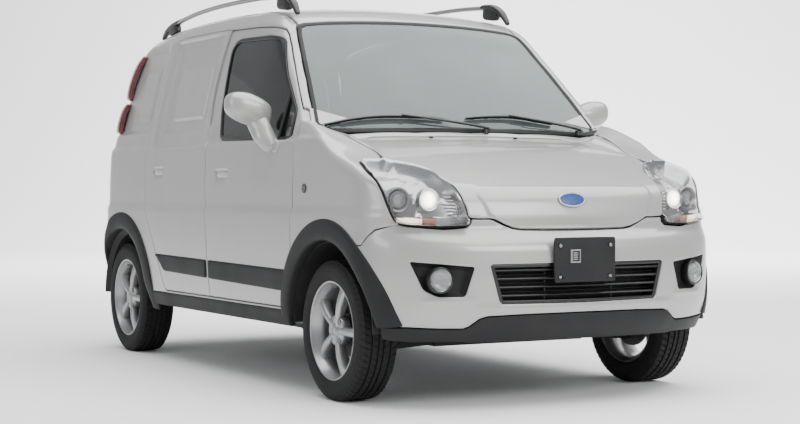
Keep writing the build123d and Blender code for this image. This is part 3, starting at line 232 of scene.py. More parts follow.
@dataclass(frozen=True)
class BumperForm(BodyForm):
    """The same form with the bumpers' larger reach, front and back."""

    inset: tuple = ((240, 50), (300, 28), (350, 12), (450, 3), (560, 0), (760, 0))
    reach: tuple = ((240, 338), (300, 372), (350, 385), (450, 391), (560, 389), (598, 383), (622, 370), (640, 352),
                    (652, 338), (662, 331), (700, 328))
    tail: tuple = ((290, 423), (340, 443), (450, 449), (560, 449), (592, 440), (606, 428), (700, 428))
    ledge: float = 0.0
    belt: float = 0.0


BODY = BodyForm()
BUMPER = BumperForm()


# ---------------------------------------------------------------- charts: flat maps of the form
@dataclass(frozen=True)
class Wrap:
    """Chart round an upright axis: u is the angle from straight ahead or back times a radius, v is the height."""

    y: float = fy(310)
    radius: float = 800.0
    flip: bool = True
    facing: float = -1.0

    def rays(self, u: Array, v: Array) -> tuple[Array, Array]:
        """Starts on the axis and outward unit directions."""
        a = u / self.radius
        start = np.stack([np.zeros_like(u), np.full_like(u, self.y), v], 1)
        return start, np.stack([self.facing * np.sin(a), self.facing * np.cos(a), np.zeros_like(u)], 1)

    def locate(self, p: Array) -> Array:
        """Chart places of points in space."""
        angle = np.arctan2(self.facing * p[:, 0], self.facing * (p[:, 1] - self.y))
        return np.stack([angle * self.radius, p[:, 2]], 1)


@dataclass(frozen=True)
class Bow:
    """Chart round an axis across the van: u is x, v is the angle over the top times a radius."""

    y: float = fy(0)
    z: float = 640.0
    radius: float = 500.0
    flip: bool = False

    def rays(self, u: Array, v: Array) -> tuple[Array, Array]:
        """Starts on the axis and outward unit directions."""
        a = v / self.radius
        start = np.stack([u, np.full_like(u, self.y), np.full_like(u, self.z)], 1)
        return start, np.stack([np.zeros_like(u), -np.cos(a), np.sin(a)], 1)

    def locate(self, p: Array) -> Array:
        """Chart places of points in space."""
        angle = (np.arctan2(p[:, 2] - self.z, self.y - p[:, 1]) + 1) % (2 * math.pi) - 1
        return np.stack([p[:, 0], angle * self.radius], 1)


@dataclass(frozen=True)
class Flank:
    """Chart of a right side: u runs along the van and, past a pole, turns round its corner."""

    pole: float = ry(60)
    fore: float = -9000.0
    z: float = 900.0
    radius: float = 760.0
    flip: bool = True

    def rays(self, u: Array, v: Array) -> tuple[Array, Array]:
        """Starts on the middle line and outward unit directions."""
        turn = (np.maximum(u - self.pole, 0) + np.minimum(u - self.fore, 0)) / self.radius
        rise = v / self.radius
        start = np.stack([np.zeros_like(u), np.clip(u, self.fore, self.pole), np.full_like(u, self.z)], 1)
        flat = np.cos(rise)
        return start, np.stack([-np.cos(turn) * flat, np.sin(turn) * flat, np.sin(rise)], 1)

    def locate(self, p: Array) -> Array:
        """Chart places of points in space."""
        past = np.maximum(p[:, 1] - self.pole, 0) + np.minimum(p[:, 1] - self.fore, 0)
        turn = np.arctan2(past, -p[:, 0])
        reach = np.hypot(p[:, 0], past)
        u = np.clip(p[:, 1], self.fore, self.pole) + turn * self.radius
        return np.stack([u, np.arctan2(p[:, 2] - self.z, reach) * self.radius], 1)


Chart = Wrap | Bow | Flank
FLANK = Flank()
NOSE = Wrap()
HOOD = Bow(z=560.0)
FENDER = Flank(pole=fy(0), fore=fy(0), z=420.0, radius=850.0)
CABIN = Bow(y=fy(1300), z=760.0, radius=900.0)
STERN = Bow(y=ry(-300), z=900.0, radius=700.0)
AFT = Wrap(y=ry(-100), flip=False, facing=1.0)


def cast(form: BodyForm, chart: Chart, uv: Array) -> Array:
    """Points of the form under chart places, found by halving each ray until it crosses zero."""
    start, direction = chart.rays(uv[:, 0], uv[:, 1])
    low = np.full(len(uv), 20.0)
    high = np.full(len(uv), 1700.0)
    for _ in range(24):
        mid = (low + high) / 2
        outside = form(start + direction * mid[:, None]) > 0
        high = np.where(outside, mid, high)
        low = np.where(outside, low, mid)
    return start + direction * ((low + high) / 2)[:, None]


def sighted(form: BodyForm, places: Sequence, axis: int, start: float, stop: float) -> Array:
    """Points of the form met by rays along one axis, as seen square to it.

    Args:
        form: the outer form.
        places: pairs of the other two coordinates, in x, y, z order.
        axis: 0, 1 or 2.
        start: a coordinate outside the form.
        stop: a coordinate inside it.

    Returns:
        Points in space.
    """
    pairs = np.asarray(places, float)
    low = np.full(len(pairs), float(start))
    high = np.full(len(pairs), float(stop))
    for _ in range(22):
        mid = (low + high) / 2
        outside = form(np.insert(pairs, axis, mid, axis=1)) > 0
        low = np.where(outside, mid, low)
        high = np.where(outside, high, mid)
    return np.insert(pairs, axis, high, axis=1)


def from_side(form: BodyForm, yz: Sequence) -> Array:
    """Points of the right side seen square to it."""
    return sighted(form, yz, 0, -1000, 0)


def from_front(form: BodyForm, xz: Sequence) -> Array:
    """Points of the nose or windscreen seen from ahead."""
    return sighted(form, xz, 1, -FAR, fy(1500))


def from_rear(form: BodyForm, xz: Sequence) -> Array:
    """Points of the back seen from behind."""
    return sighted(form, xz, 1, FAR, fy(1500))


def from_above(form: BodyForm, xy: Sequence) -> Array:
    """Points of the hood or roof seen from above."""
    return sighted(form, xy, 2, FAR, 300)


# ---------------------------------------------------------------- outlines in a chart
def turned_ccw(loop: Array) -> Array:
    """The loop with its inside on the left."""
    x, y = loop[:, 0], loop[:, 1]
    area = np.sum(x * np.roll(y, -1) - y * np.roll(x, -1))
    return loop if area > 0 else loop[::-1]


def softened(loop: Sequence, radius: float, steps: int = 5) -> Array:
    """Loop whose corners are cut by parabolas that start a radius away from each corner."""
    loop = np.asarray(loop, float)
    before, after = np.roll(loop, 1, 0), np.roll(loop, -1, 0)
    back, ahead = before - loop, after - loop
    lb, la = np.linalg.norm(back, axis=1), np.linalg.norm(ahead, axis=1)
    cut = np.minimum(radius, 0.48 * np.minimum(lb, la))[:, None]
    a = loop + back / lb[:, None] * cut
    b = loop + ahead / la[:, None] * cut
    t = np.linspace(0, 1, steps)[None, :, None]
    arcs = a[:, None] * (1 - t) ** 2 + 2 * loop[:, None] * t * (1 - t) + b[:, None] * t * t
    return arcs.reshape(-1, 2)


def curve(points: Sequence, count: int, closed: bool = False) -> Array:
    """Smooth curve through points: a Catmull-Rom cubic in each span, evenly shared out."""
    p = np.asarray(points, float)
    n = len(p)
    spans = n if closed else n - 1
    t = np.linspace(0, spans, count, endpoint=not closed)
    i = np.minimum(t.astype(int), spans - 1)
    f = (t - i)[:, None]

    def at(k: Array) -> Array:
        """Control point with a wrapped or held index."""
        return p[k % n] if closed else p[np.clip(k, 0, n - 1)]
    p0, p1, p2, p3 = at(i - 1), at(i), at(i + 1), at(i + 2)
    return 0.5 * (2 * p1 + (p2 - p0) * f + (2 * p0 - 5 * p1 + 4 * p2 - p3) * f ** 2
                  + (3 * p1 - p0 - 3 * p2 + p3) * f ** 3)


def spaced(loop: Array, gap: float) -> Array:
    """Closed loop with every long span divided, so that no two points are further apart than the gap."""
    nxt = np.roll(loop, -1, 0)
    lengths = np.linalg.norm(nxt - loop, axis=1)
    keep = lengths > 0.05
    loop, nxt, lengths = loop[keep], nxt[keep], lengths[keep]
    counts = np.maximum(np.ceil(lengths / gap).astype(int), 1)
    owner = np.repeat(np.arange(len(loop)), counts)
    inner = np.arange(counts.sum()) - np.repeat(np.cumsum(counts) - counts, counts)
    return loop[owner] + (nxt - loop)[owner] * (inner / counts[owner])[:, None]


def moved_in(loop: Array, distance: float) -> Array:
    """Loop with each point moved to its left by the distance, along mitred normals."""
    ahead = np.roll(loop, -1, 0) - loop
    ahead /= np.maximum(np.linalg.norm(ahead, axis=1, keepdims=True), 1e-9)
    normal = np.stack([-ahead[:, 1], ahead[:, 0]], 1)
    both = normal + np.roll(normal, 1, 0)
    size = np.maximum(np.sum(both * both, axis=1, keepdims=True) / 2, 0.35)
    return loop + both / size * distance


def inside(points: Array, loops: Sequence[Array]) -> Array:
    """Even-odd test of points against loops, by counting edges crossed to the right."""
    odd = np.zeros(len(points), bool)
    for loop in loops:
        nxt = np.roll(loop, -1, 0)
        for chunk in np.array_split(np.arange(len(points)), max(1, len(points) // 4000)):
            px, py = points[chunk, 0, None], points[chunk, 1, None]
            crosses = (loop[None, :, 1] > py) != (nxt[None, :, 1] > py)
            rise = np.where(nxt[:, 1] == loop[:, 1], 1e-9, nxt[:, 1] - loop[:, 1])
            at = loop[None, :, 0] + (py - loop[None, :, 1]) / rise[None] * (nxt - loop)[None, :, 0]
            odd[chunk] ^= (np.sum(crosses & (at > px), axis=1) % 2).astype(bool)
    return odd


# ---------------------------------------------------------------- meshes
@dataclass
class Shell:
    """Vertices and faces in millimetres, gathered before they become one mesh."""

    points: list = field(default_factory=list)
    faces: list = field(default_factory=list)
    count: int = 0

    def add(self, points: Array, faces: Sequence) -> int:
        """Adds vertices and faces that count from zero; returns the first new vertex's index."""
        first = self.count
        self.points.append(np.asarray(points, float))
        self.faces.extend([tuple(int(i) + first for i in f) for f in faces])
        self.count += len(points)
        return first

    def put(self, other: "Shell", matrix: Optional[Array] = None) -> "Shell":
        """Adds another shell, turned and moved by a 3 x 4 matrix; a mirroring one turns faces round."""
        pts = np.concatenate(other.points)
        faces = other.faces
        if matrix is not None:
            pts = pts @ matrix[:, :3].T + matrix[:, 3]
            if np.linalg.det(matrix[:, :3]) < 0:
                faces = [f[::-1] for f in faces]
        self.add(pts, faces)
        return self

    def mirrored(self) -> "Shell":
        """The shell on the van's other side."""
        return Shell().put(self, np.array([[-1.0, 0, 0, 0], [0, 1, 0, 0], [0, 0, 1, 0]]))


def grid_faces(rows: int, cols: int, wrap_rows: bool = False, wrap_cols: bool = False) -> list:
    """Quads of a grid of rows x cols points, closed round in either direction if asked."""
    r = np.arange(rows if wrap_rows else rows - 1)
    c = np.arange(cols if wrap_cols else cols - 1)
    rr, cc = np.meshgrid(r, c, indexing="ij")
    r2, c2 = (rr + 1) % rows, (cc + 1) % cols
    quads = np.stack([rr * cols + cc, r2 * cols + cc, r2 * cols + c2, rr * cols + c2], -1)
    return quads.reshape(-1, 4).tolist()


def place(x: float = 0, y: float = 0, z: float = 0, turn: Sequence[float] = (0, 0, 0),
          scale: Sequence[float] = (1, 1, 1)) -> Array:
    """3 x 4 matrix: scale, then turn about X, Y and Z in degrees, then move."""
    a, b, c = np.radians(turn)
    rx = np.array([[1, 0, 0], [0, math.cos(a), -math.sin(a)], [0, math.sin(a), math.cos(a)]])
    ry_ = np.array([[math.cos(b), 0, math.sin(b)], [0, 1, 0], [-math.sin(b), 0, math.cos(b)]])
    rz = np.array([[math.cos(c), -math.sin(c), 0], [math.sin(c), math.cos(c), 0], [0, 0, 1]])
    return np.hstack([rz @ ry_ @ rx @ np.diag(scale), np.array([[x], [y], [z]])])


def lathe(profile: Sequence, count: int = 48, closed: bool = False) -> Shell:
    """Profile of (along, radius) turned about the X axis; closed if it is a ring's section.

    An open profile that starts and ends at radius 0 closes at its poles.
    """
    p = np.asarray(profile, float)
    a = np.linspace(0, 2 * math.pi, count, endpoint=False)
    x = np.repeat(p[:, 0], count)
    ring = np.outer(p[:, 1], np.cos(a)).ravel()
    other = np.outer(p[:, 1], np.sin(a)).ravel()
    shell = Shell()
    shell.add(np.stack([x, ring, other], 1), grid_faces(len(p), count, closed, True))
    return shell


def tube(path: Array, radius: float | Array, sides: int = 12, flat: float = 1.0,
         up: Sequence[float] = (0, 0, 1)) -> Shell:
    """Round bar along a path with closed ends: rings of points square to the path.

    Args:
        path: (n, 3) points.
        radius: one radius or one for each point.
        sides: points in a ring.
        flat: width of a ring across the up direction's plane, as a share of its height.
        up: direction that a ring's height follows as nearly as it can.

    Returns:
        A closed shell.
    """
    path = np.asarray(path, float)
    along = np.gradient(path, axis=0)
    along /= np.linalg.norm(along, axis=1, keepdims=True)
    across = np.cross(along, np.asarray(up, float))
    across /= np.maximum(np.linalg.norm(across, axis=1, keepdims=True), 1e-6)
    upward = np.cross(across, along)
    a = np.linspace(0, 2 * math.pi, sides, endpoint=False)
    r = np.broadcast_to(np.asarray(radius, float), (len(path),))[:, None, None]
    ring = across[:, None] * np.cos(a)[None, :, None] * flat + upward[:, None] * np.sin(a)[None, :, None]
    points = (path[:, None] + ring * r).reshape(-1, 3)
    faces = [f[::-1] for f in grid_faces(len(path), sides, False, True)]
    faces.append(tuple(range(sides)))
    faces.append(tuple(range(len(points) - 1, len(points) - sides - 1, -1)))
    shell = Shell()
    shell.add(points, [f[::-1] for f in faces])
    return shell


def slab(size: Sequence[float], bulge: float = 5.0, count: int = 9) -> Shell:
    """Rounded block about the origin: a cube's grid pressed onto a superellipsoid of the given power."""
    t = np.linspace(-1, 1, count)
    a, b = np.meshgrid(t, t, indexing="ij")
    shell = Shell()
    for axis in range(3):
        for sign in (-1, 1):
            face = [a, b]
            face.insert(axis, np.full_like(a, sign))
            p = np.stack([f.ravel() for f in face], 1)
            p = p / (np.sum(np.abs(p) ** bulge, axis=1, keepdims=True) ** (1 / bulge))
            faces = grid_faces(count, count)
            if (sign < 0) != (axis == 1):
                faces = [f[::-1] for f in faces]
            shell.add(p * np.asarray(size) / 2, faces)
    return shell


def plate(outline: Array, low: float, high: float, edge: float = 1.5, holes: Sequence[Array] = ()) -> Shell:
    """Flat plate in the XY plane with rounded upper edges, from an outline and holes."""
    return surface(lambda uv, depth: np.stack([uv[:, 0], uv[:, 1], high - depth], 1), outline, holes,
                   gap=1e9, ring_gap=6.0, rim=((edge, 0.0), (0.3 * edge, 0.3 * edge), (0.0, edge),
                                               (0.0, high - low)), back=True, flip=False)


def surface(at: Callable[[Array, Array], Array], outline: Array, holes: Sequence[Array] = (), gap: float = 9.0,
            ring_gap: float = 7.0, rim: Sequence[tuple[float, float]] = ((0.0, 0.0),), back: bool = True,
            flip: bool = False, back_gap: float = 40.0) -> Shell:
    """Sheet over an outline with holes, with rims that run round every edge and a back.

    The front is a triangulation of an even grid of points inside the first rim ring. Each
    further ring (distance in from the edge, depth under the skin) is joined by quads.

    Args:
        at: gives points in space for places and depths.
        outline: outer loop in chart places.
        holes: inner loops.
        gap: spacing of the inner grid.
        ring_gap: largest spacing along the loops.
        rim: rings from the front inwards.
        back: closes the shell at the last ring.
        flip: turns all faces round.
        back_gap: grid spacing of the back.

    Returns:
        The sheet's shell.
    """
    loops = [spaced(turned_ccw(np.asarray(outline, float)), ring_gap)]
    loops += [spaced(turned_ccw(np.asarray(h, float))[::-1], ring_gap) for h in holes]
    shell = Shell()

    def cover(offset: float, depth: float, spacing: float, reverse: bool) -> list[Array]:
        """Triangulates one face; returns the vertex indices of its loops."""
        rings = [moved_in(loop, offset) for loop in loops]
        low, high = rings[0].min(0), rings[0].max(0)
        inner = np.zeros((0, 2))
        if spacing < np.max(high - low):
            nx = np.arange(low[0] + spacing / 2, high[0], spacing)
            ny = np.arange(low[1] + spacing / 2, high[1], spacing)
            gx, gy = np.meshgrid(nx, ny, indexing="ij")
            inner = np.stack([gx.ravel(), gy.ravel()], 1)
            narrow = [moved_in(ring, spacing * 0.45) for ring in rings]
            inner = inner[inside(inner, rings) & inside(inner, narrow)]
        flat = np.concatenate(rings + [inner])
        edges, first = [], 0
        for ring in rings:
            n = len(ring)
            edges += [(first + i, first + (i + 1) % n) for i in range(n)]
            first += n
        verts, _, tris, origin, _, _ = delaunay_2d_cdt([Vector(p) for p in flat], edges, [], 0, 1e-4)
        uv = np.array([tuple(v) for v in verts])
        tris = np.array(tris)
        mid = uv[tris].mean(1)
        tris = tris[inside(mid, rings)]
        where = np.zeros(len(flat), int)
        for new, olds in enumerate(origin):
            where[olds] = new
        pts = at(uv, np.full(len(uv), depth))
        faces = tris[:, ::-1] if reverse else tris
        base = shell.add(pts, faces.tolist())
        marks, start = [], 0
        for ring in rings:
            marks.append(where[start:start + len(ring)] + base)
            start += len(ring)
        return marks

    previous = cover(rim[0][0], rim[0][1], gap, False)
    last = len(rim) - 1
    for k, (offset, depth) in enumerate(rim[1:], 1):
        if back and k == last:
            current = cover(offset, depth, back_gap, True)
        else:
            current = []
            for loop in loops:
                ring = moved_in(loop, offset)
                base = shell.add(at(ring, np.full(len(ring), depth)), [])
                current.append(np.arange(len(ring)) + base)
        for a, b in zip(previous, current):
            a2, b2 = np.roll(a, -1), np.roll(b, -1)
            shell.faces.extend([tuple(int(q) for q in f) for f in np.stack([a, b, b2, a2], 1)])
        previous = current
    if flip:
        shell.faces = [f[::-1] for f in shell.faces]
    return shell


EDGE = ((2.6, 0.0), (1.3, 0.35), (0.4, 1.3), (0.0, 2.6))
ROLLED = EDGE + ((0.0, 14.0),)


def panel(form: BodyForm, chart: Chart, outline: Array, holes: Sequence[Array] = (), gap: float = 9.0,
          rim: Sequence[tuple[float, float]] = ROLLED, back: bool = False, sunk: float = 0.0,
          relief: Optional[Callable[[Array], Array]] = None, ring_gap: float = 7.0) -> Shell:
    """Sheet-metal panel on the form: chart places are cast onto it, then moved along its normals.

    Args:
        form: the outer form.
        chart: flat map that the outline is drawn in.
        outline: outer loop in chart places.
        holes: inner loops.
        gap: spacing of the surface's points.
        rim: rings round each edge, as (distance in, depth).
        back: closes the panel behind.
        sunk: depth of the whole panel under the form.
        relief: height of pressings, from points on the form.
        ring_gap: spacing along the edges.

    Returns:
        The panel's shell.
    """
    def at(uv: Array, depth: Array) -> Array:
        """Points on the form, moved in by the depth and out by the relief."""
        pts = cast(form, chart, uv)
        lift = relief(pts) if relief else 0.0
        return pts + form.normals(pts) * (lift - depth - sunk)[:, None]
    return surface(at, outline, holes, gap, ring_gap, rim, back, chart.flip)


def edged(form: BodyForm, chart: Chart, loop: Array, distance: float) -> Array:
    """Chart loop moved in by a true distance along the form (out when negative)."""
    p = cast(form, chart, loop)
    along = np.roll(p, -1, 0) - np.roll(p, 1, 0)
    across = np.cross(form.normals(p), along / np.linalg.norm(along, axis=1)[:, None])
    moves = [chart.locate(p + across * d) for d in (distance, -distance)]
    areas = [abs(np.sum(m[:, 0] * np.roll(m[:, 1], -1) - m[:, 1] * np.roll(m[:, 0], -1))) for m in moves]
    return moves[int((areas[1] < areas[0]) == (distance > 0))]


# ---------------------------------------------------------------- objects
class Ride(Enum):
    """Bodies that pieces move with; {} takes a side's name."""

    BODY = "body"
    FRONT_DOOR = "front_door_{}"
    REAR_DOOR = "rear_door_{}"
    STEERING = "steering_{}"
    FRONT_WHEEL = "front_wheel_{}"
    REAR_WHEEL = "rear_wheel_{}"
    TAILGATE = "tailgate"
    HOOD = "hood"
    STEERING_WHEEL = "steering_wheel"


def build(name: str, shell: Shell, material: bpy.types.Material, body: str,
          replaces: Sequence[str] = (), sharp: float = SHARP) -> bpy.types.Object:
    """Makes one finished piece in metres, shaded smooth with sharp edges above an angle.

    Args:
        name: the piece's name.
        shell: its vertices and faces in millimetres.
        material: its finish.
        body: the body it moves with.
        replaces: CAD nodes that it stands for.
        sharp: angle of a sharp edge, in degrees.

    Returns:
        The new object.
    """
    mesh = bpy.data.meshes.new(name)
    mesh.from_pydata((np.concatenate(shell.points) * MM).tolist(), [], shell.faces)
    mesh.validate()
    mesh.shade_smooth()
    mesh.set_sharp_from_angle(angle=math.radians(sharp))
    mesh.materials.append(material)
    piece = bpy.data.objects.new(name, mesh)
    bpy.context.scene.collection.objects.link(piece)
    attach(piece, body)
    if replaces:
        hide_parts(*replaces)
    LOG.info("%s: %d faces", name, len(mesh.polygons))
    return piece


def both_sides(name: str, shell: Shell, material: bpy.types.Material, ride: Ride,
               replaces: Sequence[str] = (), sharp: float = SHARP) -> None:
    """Makes a right-hand piece and its mirror image on the left; {} in a node's name takes the side."""
    for side, form in (("right", shell), ("left", shell.mirrored())):
        nodes = [n.format(side) for n in replaces if "{}" in n or side == "right"]
        build(f"{name}_{side}", form, material, ride.value.format(side), nodes, sharp)


# ---------------------------------------------------------------- shader building
class Sock:
    """A node's output that can be used in arithmetic; each operation adds one Math node."""

    def __init__(self, nodes: "Nodes", out: bpy.types.NodeSocket) -> None:
        """Keeps the node set and the output."""
        self.nodes, self.out = nodes, out

    def __add__(self, other: Any) -> "Sock":
        """Sum."""
        return self.nodes.maths("ADD", self, other)

    def __sub__(self, other: Any) -> "Sock":
        """Difference."""
        return self.nodes.maths("SUBTRACT", self, other)

    def __rsub__(self, other: Any) -> "Sock":
        """Difference from a number."""
        return self.nodes.maths("SUBTRACT", other, self)

    def __mul__(self, other: Any) -> "Sock":
        """Product."""
        return self.nodes.maths("MULTIPLY", self, other)

    __radd__ = __add__
    __rmul__ = __mul__

    def __pow__(self, other: Any) -> "Sock":
        """Power."""
        return self.nodes.maths("POWER", self, other)

    def over(self, low: float, high: float) -> "Sock":
        """0 below low, 1 above high, straight between them."""
        return self.nodes.node("ShaderNodeMapRange", {"clamp": True}, {0: self, 1: low, 2: high})


class Nodes:
    """One material's node set."""

    def __init__(self, name: str) -> None:
        """Makes the material with its main shader."""
        self.material = bpy.data.materials.new(name)
        self.material.use_nodes = True
        self.tree = self.material.node_tree
        self.shader = next(n for n in self.tree.nodes if n.type == "BSDF_PRINCIPLED")

    def node(self, kind: str, settings: Optional[dict] = None, inputs: Optional[dict] = None,
             output: int | str = 0) -> Sock:
        """Adds a node.

        Args:
            kind: its type.
            settings: its own settings; "stops" gives a ramp's (place, colour) pairs.
            inputs: numbers, colours or links by socket name or index.
            output: the socket to return.

        Returns:
            The chosen output.
        """
        made = self.tree.nodes.new(kind)
        for key, value in (settings or {}).items():
            if key == "stops":
                ramp = made.color_ramp
                while len(ramp.elements) < len(value):
                    ramp.elements.new(0.5)
                for element, (at, colour) in zip(ramp.elements, value):
                    element.position, element.color = at, (*colour, 1)
            else:
                setattr(made, key, value)
        for key, value in (inputs or {}).items():
            self.feed(made.inputs[key], value)
        return Sock(self, made.outputs[output])

    def feed(self, socket: bpy.types.NodeSocket, value: Any) -> None:
        """Links or sets one input."""
        if isinstance(value, Sock):
            self.tree.links.new(value.out, socket)
        elif isinstance(value, (tuple, list)) and len(value) == 3 and len(socket.default_value) == 4:
            socket.default_value = (*value, 1)
        else:
            socket.default_value = value

    def maths(self, operation: str, a: Any, b: Any) -> Sock:
        """Adds a Math node."""
        return self.node("ShaderNodeMath", {"operation": operation}, {0: a, 1: b})

    def place(self, scale: float | Sequence[float] = 1.0) -> Sock:
        """Object coordinates, stretched by a scale."""
        coords = self.node("ShaderNodeTexCoord", output="Object")
        size = (scale,) * 3 if isinstance(scale, (int, float)) else tuple(scale)
        return self.node("ShaderNodeVectorMath", {"operation": "MULTIPLY"}, {0: coords, 1: size})

    def noise(self, scale: float, detail: float = 3.0, stretch: Sequence[float] = (1, 1, 1)) -> Sock:
        """Noise on object coordinates; scale is in features a metre."""
        return self.node("ShaderNodeTexNoise", None, {"Vector": self.place(stretch), "Scale": scale,
                                                      "Detail": detail}, "Fac")

    def mix(self, share: Any, a: Any, b: Any) -> Sock:
        """Colour between two colours."""
        return self.node("ShaderNodeMix", {"data_type": "RGBA"}, {0: share, 6: a, 7: b}, 2)

    def bump(self, height: Sock, strength: float, distance: float) -> None:
        """Sends a height to the shader's normal."""
        self.set(Normal=self.node("ShaderNodeBump", None, {"Strength": strength, "Distance": distance,
                                                           "Height": height}))

    def set(self, **inputs: Any) -> None:
        """Sets or links the main shader's inputs; underscores stand for spaces."""
        for key, value in inputs.items():
            self.feed(self.shader.inputs[key.replace("_", " ")], value)


Colour = tuple[float, float, float]


@dataclass(frozen=True)
class Paint:
    """Metallic coat under clear lacquer, with fine flake and a faint orange peel."""

    name: str
    colour: Colour
    darker: float = 0.9
    metallic: float = 0.28
    roughness: float = 0.34
    coat: float = 0.7

    def make(self) -> bpy.types.Material:
        """Builds the material."""
        n = Nodes(self.name)
        dark = tuple(c * self.darker for c in self.colour)
        cloud = n.noise(2.2, 3).over(0.35, 0.65)
        flake = n.noise(900, 2)
        film = n.noise(9, 5).over(0.45, 0.8)
        n.set(Base_Color=n.mix(cloud * 0.35 + flake * 0.3, self.colour, dark), Metallic=self.metallic,
              Roughness=self.roughness + film * 0.07, Coat_Weight=self.coat, Coat_Roughness=0.06)
        n.bump(n.noise(260, 2), 0.04, 0.0004)
        return n.material


@dataclass(frozen=True)
class Moulding:
    """Moulded plastic or rubber with a leathery grain and a scuffed, dustier bloom."""

    name: str
    colour: Colour
    bloom: Colour
    roughness: float = 0.55
    grain: float = 700.0
    depth: float = 0.25
    specular: float = 0.28

    def make(self) -> bpy.types.Material:
        """Builds the material."""
        n = Nodes(self.name)
        worn = n.noise(6, 5).over(0.42, 0.78)
        cells = n.node("ShaderNodeTexVoronoi", None, {"Vector": n.place(), "Scale": self.grain}, "Distance")
        n.set(Base_Color=n.mix(worn * 0.6, self.colour, self.bloom), Roughness=self.roughness + worn * 0.12,
              Specular_IOR_Level=self.specular)
        n.bump(cells, self.depth, 0.0006)
        return n.material


@dataclass(frozen=True)
class Metal:
    """Cast, machined or plated metal with fine streaks."""

    name: str
    colour: Colour
    roughness: float = 0.3
    metallic: float = 0.9
    streak: Sequence[float] = (1, 1, 1)
    coat: float = 0.3
    depth: float = 0.05

    def make(self) -> bpy.types.Material:
        """Builds the material."""
        n = Nodes(self.name)
        streaks = n.noise(180, 3, self.streak)
        dull = n.noise(14, 4).over(0.4, 0.75)
        dark = tuple(c * 0.78 for c in self.colour)
        n.set(Base_Color=n.mix(dull * 0.4, self.colour, dark), Metallic=self.metallic,
              Roughness=self.roughness + streaks * 0.06 + dull * 0.05, Coat_Weight=self.coat, Coat_Roughness=0.1)
        n.bump(streaks, self.depth, 0.0003)
        return n.material


@dataclass(frozen=True)
class Glazing:
    """Tinted glass or clear lens, a little dustier in places."""

    name: str
    colour: Colour
    alpha: float
    roughness: float = 0.03
    flutes: float = 0.0

    def make(self) -> bpy.types.Material:
        """Builds the material."""
        n = Nodes(self.name)
        dust = n.noise(5, 4).over(0.5, 1.1)
        haze = tuple(min(1.0, c * 1.25 + 0.02) for c in self.colour)
        n.set(Base_Color=n.mix(dust, self.colour, haze), Alpha=self.alpha + dust * 0.04,
              Roughness=self.roughness + dust * 0.03, Coat_Weight=0.2, Coat_Roughness=0.02,
              Specular_IOR_Level=0.5)
        if self.flutes:
            wave = n.node("ShaderNodeTexWave", {"bands_direction": "X"}, {"Vector": n.place(), "Scale": self.flutes})
            n.bump(wave, 0.5, 0.001)
        return n.material


@dataclass(frozen=True)
class Glow:
    """Lit lamp: bright at its middle and fading to its rim."""

    name: str
    colour: Colour
    centre: tuple[float, float, float]
    radius: float
    strength: float

    def make(self) -> bpy.types.Material:
        """Builds the material."""
        n = Nodes(self.name)
        coords = n.node("ShaderNodeTexCoord", output="Object")
        away = n.node("ShaderNodeVectorMath", {"operation": "DISTANCE"}, {0: coords, 1: self.centre}, "Value")
        fade = 1 - away.over(self.radius * 0.25, self.radius)
        n.set(Base_Color=n.mix(fade, (0.55, 0.55, 0.52), self.colour), Metallic=0.4, Roughness=0.2,
              Emission_Color=n.mix(fade, (0.03, 0.03, 0.025), self.colour), Emission_Strength=self.strength)
        return n.material


@dataclass(frozen=True)
class Cloth:
    """Woven seat cloth with crossing threads and a soft nap."""

    name: str
    colour: Colour
    thread: Colour

    def make(self) -> bpy.types.Material:
        """Builds the material."""
        n = Nodes(self.name)
        warp = n.node("ShaderNodeTexWave", {"bands_direction": "X"}, {"Vector": n.place(), "Scale": 260.0})
        weft = n.node("ShaderNodeTexWave", {"bands_direction": "Z"}, {"Vector": n.place(), "Scale": 260.0})
        weave = warp * 0.5 + weft * 0.5
        nap = n.noise(60, 4)
        n.set(Base_Color=n.mix(weave * 0.6 + nap * 0.4, self.colour, self.thread), Roughness=0.85,
              Sheen_Weight=0.3, Sheen_Roughness=0.5)
        n.bump(weave + nap * 0.4, 0.35, 0.0008)
        return n.material


@dataclass(frozen=True)
class Badge:
    """Enamelled oval: a clouded blue field, and no lettering."""

    name: str
    colour: Colour = (0.006, 0.035, 0.17)

    def make(self) -> bpy.types.Material:
        """Builds the material."""
        n = Nodes(self.name)
        cloud = n.noise(120, 3).over(0.35, 0.7)
        n.set(Base_Color=n.mix(cloud, self.colour, (0.012, 0.07, 0.26)), Roughness=0.38 + cloud * 0.05,
              Coat_Weight=0.15, Coat_Roughness=0.2, Metallic=0.2)
        return n.material


